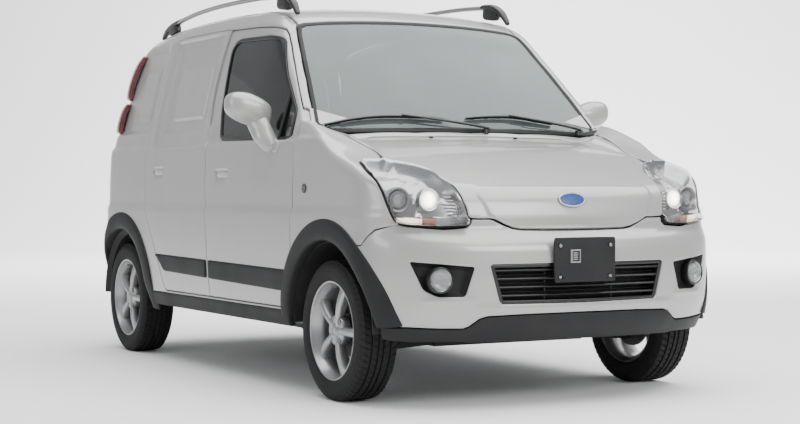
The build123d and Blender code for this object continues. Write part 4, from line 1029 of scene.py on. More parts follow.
class Finish:
    """All finishes of the van, made once."""

    def __init__(self) -> None:
        """Builds every material."""
        self.paint = Paint("silver_white_paint", (0.37, 0.368, 0.36)).make()
        self.plastic = Moulding("grained_black_plastic", (0.008, 0.008, 0.009), (0.02, 0.02, 0.02)).make()
        self.smooth_black = Moulding("smooth_black_plastic", (0.006, 0.006, 0.0065), (0.014, 0.014, 0.014), 0.32, 900,
                                     0.06, 0.5).make()
        self.rubber = Moulding("tyre_rubber", (0.007, 0.007, 0.0075), (0.018, 0.0178, 0.0175), 0.72, 500, 0.2,
                               0.3).make()
        self.seal = Moulding("seal_rubber", (0.005, 0.005, 0.005), (0.012, 0.012, 0.012), 0.6, 800, 0.1, 0.3).make()
        self.alloy = Metal("silver_alloy", (0.33, 0.33, 0.335), 0.32, 0.85, (1, 1, 1), 0.5, 0.04).make()
        self.dark_metal = Metal("dark_cast_metal", (0.10, 0.10, 0.10), 0.5, 0.6, (1, 1, 1), 0.0, 0.25).make()
        self.steel = Metal("brushed_steel", (0.26, 0.26, 0.265), 0.34, 0.95, (1, 12, 1), 0.0, 0.1).make()
        self.rail = Metal("satin_rail", (0.32, 0.325, 0.33), 0.3, 0.8, (14, 1, 14), 0.3, 0.05).make()
        self.chrome = Metal("lamp_chrome", (0.40, 0.40, 0.41), 0.15, 1.0, (1, 1, 1), 0.2, 0.02).make()
        self.side_glass = Glazing("dark_side_glass", (0.006, 0.008, 0.0075), 0.9).make()
        self.screen = Glazing("grey_green_screen", (0.10, 0.122, 0.118), 0.72).make()
        self.lens = Glazing("clear_lens", (0.30, 0.31, 0.32), 0.07, 0.02).make()
        self.fluted = Glazing("fluted_lens", (0.34, 0.35, 0.35), 0.35, 0.05, 110.0).make()
        self.red_lens = Glazing("red_lens", (0.10, 0.004, 0.008), 0.94, 0.1, 60.0).make()
        self.amber = Glazing("warm_lens", (0.45, 0.20, 0.13), 0.8, 0.1, 120.0).make()
        self.cabin = Moulding("grey_cabin_plastic", (0.10, 0.10, 0.105), (0.15, 0.15, 0.155), 0.6, 600, 0.2).make()
        self.cloth = Cloth("grey_seat_cloth", (0.055, 0.056, 0.062), (0.10, 0.10, 0.11)).make()
        self.underbody = Moulding("underbody_coat", (0.012, 0.012, 0.013), (0.035, 0.034, 0.032), 0.65, 240, 0.3,
                                  0.3).make()
        self.battery = Paint("battery_case_coat", (0.16, 0.165, 0.17), 0.8, 0.2, 0.5, 0.2).make()
        self.badge = Badge("blue_enamel").make()


# ---------------------------------------------------------------- shared outlines
SPLIT = ((1182, 338), (1203, 590), (1232, 764), (1243, 810), (1243, 970), (1258, 1012), (1286, 1100), (1306, 1190),
         (1311, 1273), (1303, 1399), (1292, 1500), (1287, 1530))
LAMP = ((-716, 912), (-695, 917), (-640, 917), (-601, 914), (-538, 901), (-491, 877), (-460, 828), (-446, 765),
        (-436, 712), (-436, 688), (-450, 674), (-490, 670), (-537, 668), (-600, 671), (-667, 678), (-692, 690),
        (-706, 722), (-714, 762), (-725, 812), (-733, 850), (-731, 890))
LAMP_POINTS = 90
GATE = ((0, 612), (-585, 614), (-598, 640), (-640, 760), (-642, 1080), (-604, 1270), (-530, 1500), (-512, 1526),
        (-400, 1540), (-200, 1550), (0, 1553))
SCREEN = ((0, 1052), (-250, 1051), (-480, 1046), (-610, 1045), (-652, 1052), (-664, 1080), (-645, 1152), (-617, 1260),
          (-588, 1371), (-560, 1470), (-545, 1500), (-510, 1514), (-400, 1525), (-200, 1535), (0, 1538))


def run(points: Sequence) -> Array:
    """(y, z) points from (distance behind the front axle, z)."""
    return np.asarray(points, float) + (FRONT_Y, 0)


def arc(centre: float, start: float, stop: float, count: int) -> list:
    """Points of a wheel arch as (distance behind the front axle, z), by angle from straight back."""
    a = np.radians(np.linspace(start, stop, count))
    return list(zip(centre + ARCH_R * np.cos(a), AXLE_Z + ARCH_R * np.sin(a)))


def side_loop(points: Sequence, radius: float = 0.0) -> Array:
    """Flank loop of an outline drawn on the side as (distance behind the front axle, z)."""
    flat = softened(run(points), radius) if radius else run(points)
    return FLANK.locate(from_side(BODY, flat))


def grown(loop: Array, gap: float) -> Array:
    """The loop moved out by a gap, with its points in the same order."""
    turned = turned_ccw(loop)
    wide = moved_in(turned, -gap)
    return wide if np.allclose(turned[0], loop[0]) else wide[::-1]


def whole(half: Sequence) -> Array:
    """Closed loop from a half outline that starts and ends on the middle line."""
    p = np.asarray(half, float)
    inner = p[1:-1] if abs(p[-1, 0]) < 1e-6 and abs(p[0, 0]) < 1e-6 else p
    other = inner[::-1] * np.array([-1] + [1] * (p.shape[1] - 1))
    return np.concatenate([p, other])


# ---------------------------------------------------------------- doors
@dataclass
class Doors:
    """Hinged doors: pressed skins with inner panels, glass, handles, mirrors and rub strips."""

    gap: float = 3.0
    shut: float = 3.2
    thick: float = 44.0
    mirror_size: tuple[float, float, float] = (100.0, 62.0, 66.0)

    def front_outline(self) -> list:
        """Front door from its foot by the wheel arch, up over the window and down the split."""
        split = [(y - self.gap, z) for y, z in SPLIT[::-1]]
        return [(356, 338), (343, 388), (328, 428), (316, 462), (316, 560), (314, 800), (312, 930), (310, 1027),
                (313, 1070), (325, 1100), (387, 1141), (441, 1194), (569, 1326), (658, 1416), (712, 1468), (745, 1492),
                (800, 1506), (900, 1514), (1059, 1523), (1200, 1528)] + split

    def rear_outline(self) -> list:
        """Rear door, with its lower rear edge leaning forward over the wheel arch."""
        split = [(y + self.gap, z) for y, z in SPLIT]
        return split + [(1404, 1533), (1650, 1536), (1880, 1535), (1955, 1522), (1986, 1480), (2005, 1330),
                        (2013, 1150), (2015, 900), (2013, 785), (1990, 728), (1760, 368), (1742, 344), (1725, 338)]

    def window(self, grow: float) -> Array:
        """Front window outline, grown by an amount."""
        loop = softened(run([(1140, 1031), (400, 1011), (384, 1030), (404, 1132), (567, 1285), (700, 1448), (740, 1464),
                             (1155, 1482), (1196, 1472), (1229, 1435), (1213, 1299), (1190, 1160)]), 22)
        return moved_in(turned_ccw(loop), -grow)

    @staticmethod
    def handle_dish(p: Array, y0: float, y1: float, z0: float, z1: float) -> Array:
        """Recess under a pull handle: a soft rounded box pressed in."""
        d = p[:, 1] - FRONT_Y
        return -7 * band(d, y0, y1, 7) * band(p[:, 2], z0, z1, 7)

    def front_relief(self, p: Array) -> Array:
        """Pressed ledge under the window, with soft ends, and the handle's dish."""
        d, z = p[:, 1] - FRONT_Y, p[:, 2]
        low = 1000 + 20 * (1 - step(d, 1180, 1235))
        ledge = step(z, low - 14, low + 16) * (1 - step(d, 1205, 1240) * (1 - step(z, 1060, 1120)))
        ledge = ledge * step(d, 318, 350)
        return -10 * ledge + self.handle_dish(p, 992, 1120, 850, 893)

    def rear_relief(self, p: Array) -> Array:
        """Pressings in place of a window: a recess, a second one inside it and a raised field."""
        d, z = p[:, 1] - FRONT_Y, p[:, 2]
        outer = step(z, 1000, 1034) * step(d, 1330, 1356) * (1 - step(d, 1938, 1966)) * (1 - step(z, 1512, 1524))
        second = step(z, 1072, 1088) * step(d, 1362, 1374) * (1 - step(d, 1868, 1884)) * (1 - step(z, 1486, 1502))
        third = step(z, 1076, 1090) * step(d, 1364, 1376) * (1 - step(d, 1866, 1882)) * (1 - step(z, 1444, 1455))
        raised = step(z, 1136, 1150) * step(d, 1404, 1416) * (1 - step(d, 1788, 1802)) * (1 - step(z, 1388, 1402))
        return -11 * outer - 7 * second - 4 * third + 10 * raised + self.handle_dish(p, 1780, 1898, 866, 910)

    def rims(self) -> tuple:
        """Rings of a door: rolled edge, then in behind the shut line to its inner panel."""
        return EDGE + ((0.0, 13.0), (12.0, 14.0), (13.0, self.thick - 2), (15.0, self.thick))

    def handle(self, y: float, z: float, out: float) -> Shell:
        """Pull handle: a rounded grip that bridges its dish, with a lock cap ahead of it."""
        shell = Shell()
        shell.put(slab((16, 118, 30), 4.0, 9), place(-out - 1, fy(y), z + 2, (0, -6, 0)))
        shell.put(lathe([(-out - 12, 0), (-out - 12, 8), (-out - 9, 10.5), (-out + 6, 10.5), (-out + 6, 0)], 28),
                  place(0, fy(y + 76), z + 4))
        return shell

    def strip(self, y0: float, y1: float, lean: float) -> Shell:
        """Rub strip on a door: a raised bar with bevelled edges and a raked end."""
        top0, top1 = np.interp([y0, y1], [320, 1840], [489, 506])
        low0, low1 = np.interp([y0, y1], [335, 1736], [401, 428])
        loop = side_loop([(y0, low0), (y0, top0), (y1, top1), (y1 - lean, low1)], radius=14 if lean else 9)
        rim = ((9.0, -9.0), (5.0, -8.2), (1.5, -5.0), (0.0, -1.0), (0.0, 2.0))
        return panel(BODY, FLANK, loop, (), 16, rim, True)

    def mirror(self) -> tuple[Shell, Shell]:
        """Mirror head on its foot, and the glass on the head's back.

        The head is a superellipsoid cut flat behind. It falls towards the van, its top is
        lower there and its foot is as broad as half of it.
        """
        u = np.linspace(-math.pi / 2, math.pi / 2, 25)
        v = np.linspace(0, 2 * math.pi, 48, endpoint=False)
        uu, vv = np.meshgrid(u, v, indexing="ij")

        def soft(a: Array, power: float) -> Array:
            """Signed power."""
            return np.sign(a) * np.abs(a) ** power
        wide, deep, tall = self.mirror_size
        share = soft(np.cos(uu), 0.75) * soft(np.cos(vv), 0.7)
        x = wide * share
        z = tall * soft(np.cos(uu), 0.75) * soft(np.sin(vv), 0.7)
        y = np.minimum(deep * soft(np.sin(uu), 0.8), 26)
        z = np.where(z > 0, z * (1 - 0.34 * np.maximum(share, 0)), z * (1 + 0.30 * share)) - 13 * share
        pts = np.stack([x - 842, y + fy(600), z + 1140], -1).reshape(-1, 3)
        head = Shell()
        head.add(pts, grid_faces(25, 48, False, True))
        path = curve([(-750, fy(514), 968), (-774, fy(524), 994), (-796, fy(545), 1032), (-806, fy(570), 1074),
                      (-814, fy(588), 1106)], 18)
        radius = np.interp(np.linspace(0, 1, 18), [0, 0.2, 0.5, 0.8, 1], [14, 40, 45, 46, 44])
        foot = tube(path, radius, 20, 0.72, (0, 0.4, 1))
        foot.put(slab((22, 138, 58), 3.0, 9), place(-766, fy(524), 994, (14, 12, 0)))
        glass = Shell()
        glass.put(slab((152, 6, 84), 4.0, 9), place(-846, fy(600) + 27, 1142, (0, 7, 0)))
        return head.put(foot), glass

    def make(self, f: Finish) -> None:
        """Builds both sides."""
        front = panel(BODY, FLANK, side_loop(self.front_outline()), [FLANK.locate(from_side(BODY, self.window(0)))],
                      9, self.rims(), True, 0, self.front_relief)
        both_sides("front_door_skin", front, f.paint, Ride.FRONT_DOOR, ["front_door_{}"])
        rear = panel(BODY, FLANK, side_loop(self.rear_outline()), (), 7.5, self.rims(), True, 0, self.rear_relief)
        both_sides("rear_door_skin", rear, f.paint, Ride.REAR_DOOR, ["rear_door_{}"])
        frame = panel(BODY, FLANK, FLANK.locate(from_side(BODY, self.window(-1))),
                      [FLANK.locate(from_side(BODY, self.window(-16)))], 30,
                      ((1.5, 5.0), (0.0, 6.5), (0.0, 26.0), (2.0, 27.0)), True)
        both_sides("window_frame", frame, f.smooth_black, Ride.FRONT_DOOR)
        drawn = tuple((z, inset + BODY.ledge + BODY.belt) for z, inset in BODY.inset)
        plain = BodyForm(inset=drawn, ledge=0.0, belt=0.0)
        glass = panel(plain, FLANK, FLANK.locate(from_side(BODY, self.window(-12))), (), 18,
                      ((1.0, 11.0), (0.0, 12.0), (0.0, 16.0)), True)
        both_sides("door_glass", glass, f.side_glass, Ride.FRONT_DOOR, ["front_door_glass_{}"])
        bar = Shell().put(tube(from_side(BODY, run([(492, 1014), (500, 1210)])) + np.array([9.0, 0, 0]), 9, 12, 0.6))
        both_sides("quarter_light_bar", bar, f.smooth_black, Ride.FRONT_DOOR)
        both_sides("front_handle", self.handle(1052, 874, 766), f.paint, Ride.FRONT_DOOR)
        both_sides("rear_handle", self.handle(1834, 892, 766), f.paint, Ride.REAR_DOOR)
        head, mirror_glass = self.mirror()
        both_sides("mirror_head", head, f.paint, Ride.FRONT_DOOR, ["door_mirror_{}"])
        both_sides("mirror_glass", mirror_glass, f.chrome, Ride.FRONT_DOOR)
        both_sides("front_strip", self.strip(322, 1176, 0), f.plastic, Ride.FRONT_DOOR,
                   ["front_rub_strip_{}"])
        both_sides("rear_strip", self.strip(1207, 1846, 108), f.plastic, Ride.REAR_DOOR,
                   ["rear_rub_strip_{}"])


# ---------------------------------------------------------------- fixed body panels
@dataclass
class Shellwork:
    """Fixed panels: sides with their pillars, roof, cowl, fenders and the windscreen."""

    seam: float = 545.0
    wall: float = 46.0

    def side_relief(self, p: Array) -> Array:
        """Quarter panel's ledge, its recess and raised field, and a groove over the doors."""
        d, z = p[:, 1] - FRONT_Y, p[:, 2]
        far = step(d, 2052, 2070)
        ledge = step(z, 1080, 1098) * step(d, 2040, 2064)
        recess = step(z, 1096, 1110) * far * (1 - step(d, 2560, 2600)) * (1 - step(z, 1486, 1502))
        raised = step(z, 1150, 1164) * step(d, 2096, 2108) * (1 - step(d, 2290, 2304)) * (1 - step(z, 1392, 1406))
        gutter = band(z, 1546, 1553, 4) * (1 - step(d, 2380, 2480)) * step(d, 780, 860)
        return -8 * ledge - 6 * recess + 8 * raised - 3.0 * gutter

    def make_side(self) -> Shell:
        """Right side: pillar, roof edge, quarter and sill in one panel round the door opening."""
        doors = Doors()
        front_edge = grown(side_loop(doors.front_outline()), doors.shut)[7:20]
        rear_edge = grown(side_loop(doors.rear_outline()), doors.shut)[len(SPLIT):]
        wheel = arc(WHEELBASE, 172, 22, 26)
        low = [(357, 334), (357, 292), (1500, 292), (1900, 292), (1985, 300)]
        skirt = [(2676, 412), (2692, 470), (2694, 606)]
        inner = from_side(BODY, run(low))
        arch = from_side(BODY, run(wheel + skirt[:1]))
        corner = from_rear(BODY, [(-700, 500), (-700, 604), (-640, 607), (-600, 608)])
        gate = grown(FLANK.locate(from_rear(BODY, GATE)), doors.shut)[2:8]
        roof = from_above(BODY, [(-self.seam + 12, fy(2560)), (-self.seam, fy(2500)), (-self.seam, fy(1600)),
                                 (-self.seam, fy(900)), (-self.seam, fy(852))])
        screen = from_front(BODY, [(-549, 1512), (-560, 1499), (-571, 1470), (-599, 1371), (-628, 1260), (-656, 1152),
                                   (-675, 1082), (-673, 1064)])
        pieces = [FLANK.locate(np.concatenate(p)) for p in ([inner, arch, corner], [roof, screen])]
        loop = np.concatenate([front_edge, rear_edge, pieces[0], gate, pieces[1]])
        rim = EDGE + ((0.0, 18.0), (-6.0, self.wall - 2), (-6.0, self.wall))
        return panel(BODY, FLANK, loop, (), 10, rim, True, 0, self.side_relief)

    def make_fender(self) -> Shell:
        """Right fender between door, hood, lamp, bumper and arch."""
        rear = from_side(BODY, run([(310, 458), (309, 560), (307, 800), (304, 1027), (306, 1060)]))
        cowl = from_above(BODY, [(-676, fy(296)), (-664, fy(270)), (-640, fy(246)), (-622, fy(200)), (-620, fy(90)),
                                 (-612, fy(34)), (-598, fy(-23)), (-596, fy(-68)), (-604, fy(-112))])
        outline = curve(turned_ccw(NOSE.locate(from_front(BODY, LAMP))), LAMP_POINTS, True)
        wide = cast(BODY, NOSE, edged(BODY, NOSE, outline, -2.6))
        ends = [int(np.argmin(np.linalg.norm(wide[:, ::2] - p, axis=1))) for p in ((-640, 920), (-680, 684))]
        count = (ends[0] - ends[1]) % LAMP_POINTS
        lamp = wide[(ends[1] + np.arange(count + 1)) % LAMP_POINTS][::-1]
        seam = from_side(BODY, run([(-341, 664), (-318, 640), (-288, 606)]))
        arch = from_side(BODY, run(arc(0, 115, 30, 20)))
        loop = np.concatenate([rear, cowl, lamp, seam, arch])
        return panel(BODY, FENDER, FENDER.locate(loop), (), 9)

    def make_cowl(self) -> Shell:
        """Panel between the hood and the windscreen: half its outline runs from one to the other."""
        front = from_above(BODY, [(0, fy(227)), (-244, fy(228)), (-450, fy(240)), (-553, fy(222)), (-600, fy(176)),
                                  (-614, fy(150))])
        side = from_above(BODY, [(-616, fy(205)), (-636, fy(250)), (-658, fy(274))])
        back = from_front(BODY, [(-655, 1040), (-610, 1036), (-480, 1036), (-250, 1041), (0, 1042)])
        half = np.concatenate([front, side, back])
        return panel(BODY, HOOD, HOOD.locate(whole(half)), (), 16)

    def make_screen(self) -> tuple[Shell, Shell]:
        """Windscreen and its rubber seal."""
        glass = CABIN.locate(whole(from_front(BODY, SCREEN)))
        smooth = turned_ccw(glass)
        pane = panel(BODY, CABIN, moved_in(smooth, 9), (), 26, ((1.0, 2.0), (0.0, 3.0), (0.0, 7.5)), True)
        seal = panel(BODY, CABIN, moved_in(smooth, -7), [moved_in(smooth, 11)], 60,
                     ((4.0, -1.0), (1.0, 0.2), (0.0, 2.0), (0.0, 9.0)), True)
        return pane, seal

    def make_roof(self) -> Shell:
        """Roof panel from the windscreen's header to the tailgate."""
        front = from_front(BODY, [(0, 1547), (-200, 1544), (-400, 1534), (-512, 1523), (-540, 1514)])
        side = from_above(BODY, [(-self.seam + 5, fy(860)), (-self.seam + 5, fy(1600)), (-self.seam + 5, fy(2500)),
                                 (-self.seam + 17, fy(2556))])
        back = from_rear(BODY, [(-522, 1532), (-400, 1546), (-200, 1557), (0, 1560)])
        half = np.concatenate([front, side, back])

        def ribs(p: Array) -> Array:
            """Long swages that stiffen the roof."""
            d = p[:, 1] - FRONT_Y
            wave = sum(band(np.abs(p[:, 0]), c - 22, c + 22, 10) for c in (90, 250, 400))
            return 4.5 * wave * step(d, 1050, 1120) * (1 - step(d, 2330, 2400))
        rim = ROLLED + ((-4.0, 24.0), (-4.0, 30.0))
        return panel(BODY, CABIN, CABIN.locate(whole(half)), (), 13, rim, True, 0, ribs)

    def liner(self, y: float, inner: float, radius: float, wall: float) -> Shell:
        """Wheel house: half a drum over the wheel, flared at its mouth, with a wall down its inner side."""
        a = np.linspace(0.03, math.pi - 0.03, 40)
        mouth, thick = ARCH_R - 9, 4
        section = ((-757, mouth), (-738, radius), (inner - 12, radius), (inner, radius - 12), (inner, wall),
                   (inner - thick, wall), (inner - thick, radius - 14), (inner - 14, radius - thick),
                   (-738, radius - thick), (-757, mouth - thick))
        rows = [np.stack([np.full_like(a, x), y + r * np.cos(a), AXLE_Z + r * np.sin(a)], 1) for x, r in section]
        shell = Shell()
        shell.add(np.concatenate(rows), grid_faces(len(rows), len(a), True, False))
        return shell

    def pillar(self) -> Shell:
        """Pillar behind the split between the doors."""
        edge = [(y - 42, z) for y, z in SPLIT[::-1]] + [(y + 42, z) for y, z in SPLIT]
        rim = ((6.0, 0.0), (1.5, 0.6), (0.0, 3.0), (0.0, 13.0))
        return panel(BODY, FLANK, side_loop(edge), (), 24, rim, True, 60.0)

    def bulkhead(self) -> Shell:
        """Pressed wall between the motor bay and the cabin, stiffened by swages."""
        half = [(0, 300), (-560, 300), (-585, 330), (-585, 940), (-560, 985), (-300, 1008), (0, 1012)]

        def at(uv: Array, depth: Array) -> Array:
            """Points of the front face, with three upright swages and a long one across."""
            x, z = uv[:, 0], uv[:, 1]
            swage = sum(band(x, c - 30, c + 30, 14) for c in (-380, 0, 380)) * band(z, 420, 900, 20)
            swage = np.maximum(swage, band(z, 940, 965, 10) * (np.abs(x) < 520))
            return np.stack([x, fy(300) + depth + 5 - 5 * swage, z], 1)
        return surface(at, turned_ccw(softened(whole(half), 12)), (), 22, 14, ((2.0, 0.0), (0.0, 1.5), (0.0, 6.0)),
                       True)

    def make(self, f: Finish) -> None:
        """Builds the fixed panels."""
        both_sides("door_pillar", self.pillar(), f.paint, Ride.BODY)
        build("bulkhead", self.bulkhead(), f.underbody, "body")
        both_sides("side_panel", self.make_side(), f.paint, Ride.BODY, ["body_sides"])
        both_sides("fender_skin", self.make_fender(), f.paint, Ride.BODY, ["fenders"])
        build("cowl_skin", self.make_cowl(), f.paint, "body", ["cowl_panel"])
        pane, seal = self.make_screen()
        build("windscreen_pane", pane, f.screen, "body", ["windscreen"])
        build("windscreen_seal", seal, f.seal, "body")
        build("roof_skin", self.make_roof(), f.paint, "body", ["roof_panel"])
        both_sides("front_liner", self.liner(FRONT_Y, -578, 343, 322), f.underbody, Ride.BODY)
        both_sides("rear_liner", self.liner(REAR_Y, -586, 321, 60), f.underbody, Ride.BODY)


# ---------------------------------------------------------------- front end
@dataclass
class FrontEnd:
    """Hood, bumper, grille, lamps, valance, badge and plate bracket."""

    thick: float = 20.0
    slats: int = 4
    plate_y: float = -1687.0

    def hood_half(self) -> Array:
        """Half of the hood's outline in space, from the middle of its lower edge to its rear edge."""
        low = from_front(BODY, [(0, 660), (-126, 661), (-230, 663), (-262, 668), (-300, 682), (-335, 699), (-352, 703),
                                (-397, 703), (-429, 705), (-440, 712), (-443, 740), (-452, 768), (-465, 826),
                                (-494, 873), (-538, 897), (-575, 907)])
        top = from_above(BODY, [(-592, fy(-112)), (-588, fy(-68)), (-590, fy(-23)), (-604, fy(34)), (-612, fy(90)),
                                (-610, fy(146)), (-596, fy(171)), (-551, fy(216)), (-456, fy(233)), (-244, fy(222)),
                                (0, fy(221))])
        return np.concatenate([low, top])

    def hood_relief(self, p: Array) -> Array:
        """Raised front field with a fine edge, where the badge sits."""
        x, z = np.abs(p[:, 0]), p[:, 2]
        edge = table(z, ((650, 230), (664, 262), (702, 342), (751, 371), (806, 391), (822, 380)))
        return 4.2 * (1 - step(x, edge - 5, edge + 5)) * (1 - step(z, 813, 822)) * (p[:, 1] < fy(-380))

    def make_hood(self, f: Finish) -> None:
        """Hood with its washer nozzles and badge."""
        rim = EDGE + ((0.0, 12.0), (10.0, 13.0), (12.0, self.thick))
        hood = panel(BODY, HOOD, HOOD.locate(whole(self.hood_half())), (), 9, rim, True, 0,
                     self.hood_relief)
        build("hood_skin", hood, f.paint, "hood", ["hood"])
        nozzles = Shell()
        for x in (-202, 202):
            at = from_above(BODY, [(x, fy(206))])[0]
            nozzles.put(slab((17, 14, 9), 3.2, 7), place(x, at[1], at[2] + 3, (6, 0, 0)))
        build("washer_nozzles", nozzles, f.smooth_black, "hood")
        a = np.linspace(0, 2 * math.pi, 72, endpoint=False)
        oval = np.stack([np.cos(a), np.sin(a)], 1)
        at = from_front(BODY, [(0, 768)])[0]
        tilt = place(0, at[1] - 7.5, 768, (72, 0, 0))
        rim_ring = Shell().put(surface(lambda uv, d: np.stack([uv[:, 0], uv[:, 1], 6 - d], 1), oval * (62, 31),
                                       [oval * (52, 22.5)], 1e9, 4, ((3.2, 0.0), (1.2, 1.0), (0.0, 3.4), (0.0, 8.0)),
                                       True), tilt)
        build("badge_ring", rim_ring, f.chrome, "hood")

        def domed(uv: Array, depth: Array) -> Array:
            """Points of the badge's crowned field."""
            u, v = uv[:, 0], uv[:, 1]
            return np.stack([u, v, 4.4 - depth - 1.8 * (u / 53) ** 2 - 1.4 * (v / 23) ** 2], 1)
        enamel = surface(domed, oval * (53, 23.4), (), 4, 4, ((0.5, 0.0), (0.0, 5.0)), True)
        build("badge_field", Shell().put(enamel, tilt), f.badge, "hood")

    def fog_loop(self, grow: float) -> Array:
        """Right fog recess as a chart loop, grown by an amount."""
        loop = softened([(-446, 527), (-478, 426), (-486, 419), (-576, 419), (-616, 440), (-626, 448), (-668, 548)], 10)
        return moved_in(turned_ccw(NOSE.locate(from_front(BUMPER, loop))), -grow)

    def grille_loop(self, grow: float) -> Array:
        """Grille opening as a chart loop, grown by an amount."""
        half = [(0, 536), (-378, 536), (-387, 529), (-352, 401), (-341, 389), (0, 386)]
        return moved_in(turned_ccw(NOSE.locate(from_front(BUMPER, whole(half)))), -grow)

    def bumper_relief(self, p: Array) -> Array:
        """Raised lip round the openings and a soft shelf under the upper edge."""
        x, z = np.abs(p[:, 0]), p[:, 2]
        low = band(z, 350, 385, 10) * (1 - step(x, 400, 470))
        lip = band(z, 398, 412, 6) * band(x, 455, 620, 14)
        return 3.0 * low + 3.5 * lip

    def bumper_edge(self) -> list:
        """Half of the bumper's lower edge over the valance, as (x, z)."""
        return [(0, 352), (-250, 351), (-395, 347), (-425, 338), (-462, 310), (-480, 303), (-560, 304), (-660, 309)]

    def make_bumper(self, f: Finish) -> None:
        """Painted bumper, black valance, recess trays and grille."""
        top = from_front(BUMPER, [(0, 654), (-126, 655), (-232, 657), (-266, 662), (-305, 676), (-340, 692),
                                  (-356, 697), (-397, 697), (-426, 698), (-431, 680), (-447, 668), (-490, 664),
                                  (-537, 662), (-600, 667), (-660, 673), (-692, 679)])
        side = from_side(BUMPER, run([(-345, 659), (-322, 637), (-292, 603)]))
        arch = from_side(BUMPER, run(arc(0, 116, 172, 10)))
        low = from_front(BUMPER, self.bumper_edge()[::-1])
        foot = from_side(BUMPER, run([(-352, 311), (-378, 310)]))
        half = np.concatenate([top, side, arch, foot, low])
        loop = NOSE.locate(whole(half))
        fog = self.fog_loop(0)
        holes = [self.grille_loop(0), fog, fog * (-1, 1)]
        skin = panel(BUMPER, NOSE, loop, holes, 9, ROLLED + ((0.0, 22.0), (-1.0, 26.0)), True, 0, self.bumper_relief)
        build("bumper_skin", skin, f.paint, "body", ["front_bumper"])
        tray = panel(BUMPER, NOSE, self.fog_loop(-0.6), (), 14,
                     ((20.0, 26.0), (12.0, 22.0), (3.0, 6.0), (0.4, 1.6), (0.0, 2.6), (0.0, 30.0), (4.0, 40.0)), True)
        both_sides("fog_tray", tray, f.plastic, Ride.BODY)
        self.make_fog(f)
        self.make_grille(f)
        edge = [(x, z - 4.5) for x, z in self.bumper_edge()]
        upper = from_front(BUMPER, edge)
        rear = from_side(BUMPER, run([(-378, 305.5), (-348, 305.5), (-340, 262), (-372, 256)]))
        lower = from_front(BUMPER, [(-640, 254), (-480, 253), (-440, 249), (0, 249)])
        half = np.concatenate([upper, rear, lower])

        def swell(p: Array) -> Array:
            """Valance stands proud along its middle height."""
            return 5 * band(p[:, 2], 268, 330, 22) * (1 - step(np.abs(p[:, 0]), 400, 470)) + 2.5
        valance = panel(BUMPER, NOSE, NOSE.locate(whole(half)), (), 10, ROLLED + ((0.0, 26.0), (4.0, 40.0)), True, 0,
                        swell)
        build("valance_skin", valance, f.plastic, "body", ["front_valance"])

    def make_fog(self, f: Finish) -> None:
        """Fog lamps: a chromed bowl, a bezel and a fluted lens."""
        at = from_front(BUMPER, [(-570, 481)])[0]
        turn = place(at[0], at[1] + 4, at[2], (0, 0, 78))
        bowl = lathe([(4, 0), (5, 20), (-3, 34), (-13, 40), (-14, 42), (-2, 44), (16, 30), (18, 0)], 44)
        both_sides("fog_bowl", Shell().put(bowl, turn), f.chrome, Ride.BODY, ["fog_lamps"])
        bezel = lathe([(-16, 41), (-19, 43.5), (-17, 47), (-8, 50), (10, 50), (10, 44), (-10, 42.4)], 44, True)
        both_sides("fog_bezel", Shell().put(bezel, turn), f.smooth_black, Ride.BODY)
        lens = lathe([(-22, 0), (-21.4, 14), (-19, 28), (-14, 39), (-11, 41), (-9, 40), (-16, 27), (-18.4, 14),
                      (-19, 0)], 44)
        both_sides("fog_lens", Shell().put(lens, turn), f.fluted, Ride.BODY)

    def make_grille(self, f: Finish) -> None:
        """Grille: a frame in the opening, bowed slats and a dark duct behind."""
        surround = panel(BUMPER, NOSE, self.grille_loop(-0.6), [self.grille_loop(-13)], 60,
                         ((3.0, 5.0), (0.5, 6.0), (0.0, 9.0), (0.0, 34.0)), True)
        slats = Shell()
        for k in range(self.slats):
            z = 512 - k * 31
            reach = np.interp(z, [389, 529], [338, 376])
            across = np.linspace(-reach, reach, 41)
            for dz, r in ((0.0, 6.5), (12.5, 2.6)):
                path = from_front(BUMPER, np.stack([across, np.full_like(across, z + dz)], 1))
                path[:, 1] += 20 if dz == 0 else 30
                slats.put(tube(path, r, 10, 2.1 if dz == 0 else 1.6))
        for x in (-150, 150):
            rise = np.linspace(388, 534, 9)
            path = from_front(BUMPER, np.stack([np.full_like(rise, x), rise], 1)) + (0, 32, 0)
            slats.put(tube(path, 4, 8, 1.0, (1, 0, 0)))
        build("grille_slats", slats, f.smooth_black, "body", ["grille"])
        build("grille_frame", surround, f.smooth_black, "body")
        duct = panel(BUMPER, NOSE, self.grille_loop(6), (), 60, ((12.0, 72.0), (6.0, 66.0), (0.0, 30.0), (-2.0, 30.0),
                     (-2.0, 78.0)), True)
        build("grille_duct", duct, f.underbody, "body")

    def lamp_loop(self, grow: float) -> Array:
        """Right lamp outline as a chart loop, grown by an amount."""
        loop = turned_ccw(NOSE.locate(from_front(BODY, LAMP)))
        return edged(BODY, NOSE, curve(loop, LAMP_POINTS, True), -grow)

    def make_lamps(self, f: Finish) -> None:
        """Headlamps: gasket, clear lens, chromed bowl, two reflectors, a side facet and a lower strip."""
        gasket = panel(BODY, NOSE, self.lamp_loop(-0.5), [self.lamp_loop(-6.0)], 60,
                       ((2.2, 0.6), (0.4, 1.6), (0.0, 3.0), (0.0, 12.0)), True, ring_gap=9)
        both_sides("lamp_gasket", gasket, f.seal, Ride.BODY)
        lens = panel(BODY, NOSE, self.lamp_loop(-6.2), (), 12, ((2.0, 0.2), (0.5, 1.2), (0.0, 2.4), (0.0, 4.0)), True,
                     ring_gap=9)
        both_sides("lamp_lens", lens, f.lens, Ride.BODY, ["headlight_lenses"])

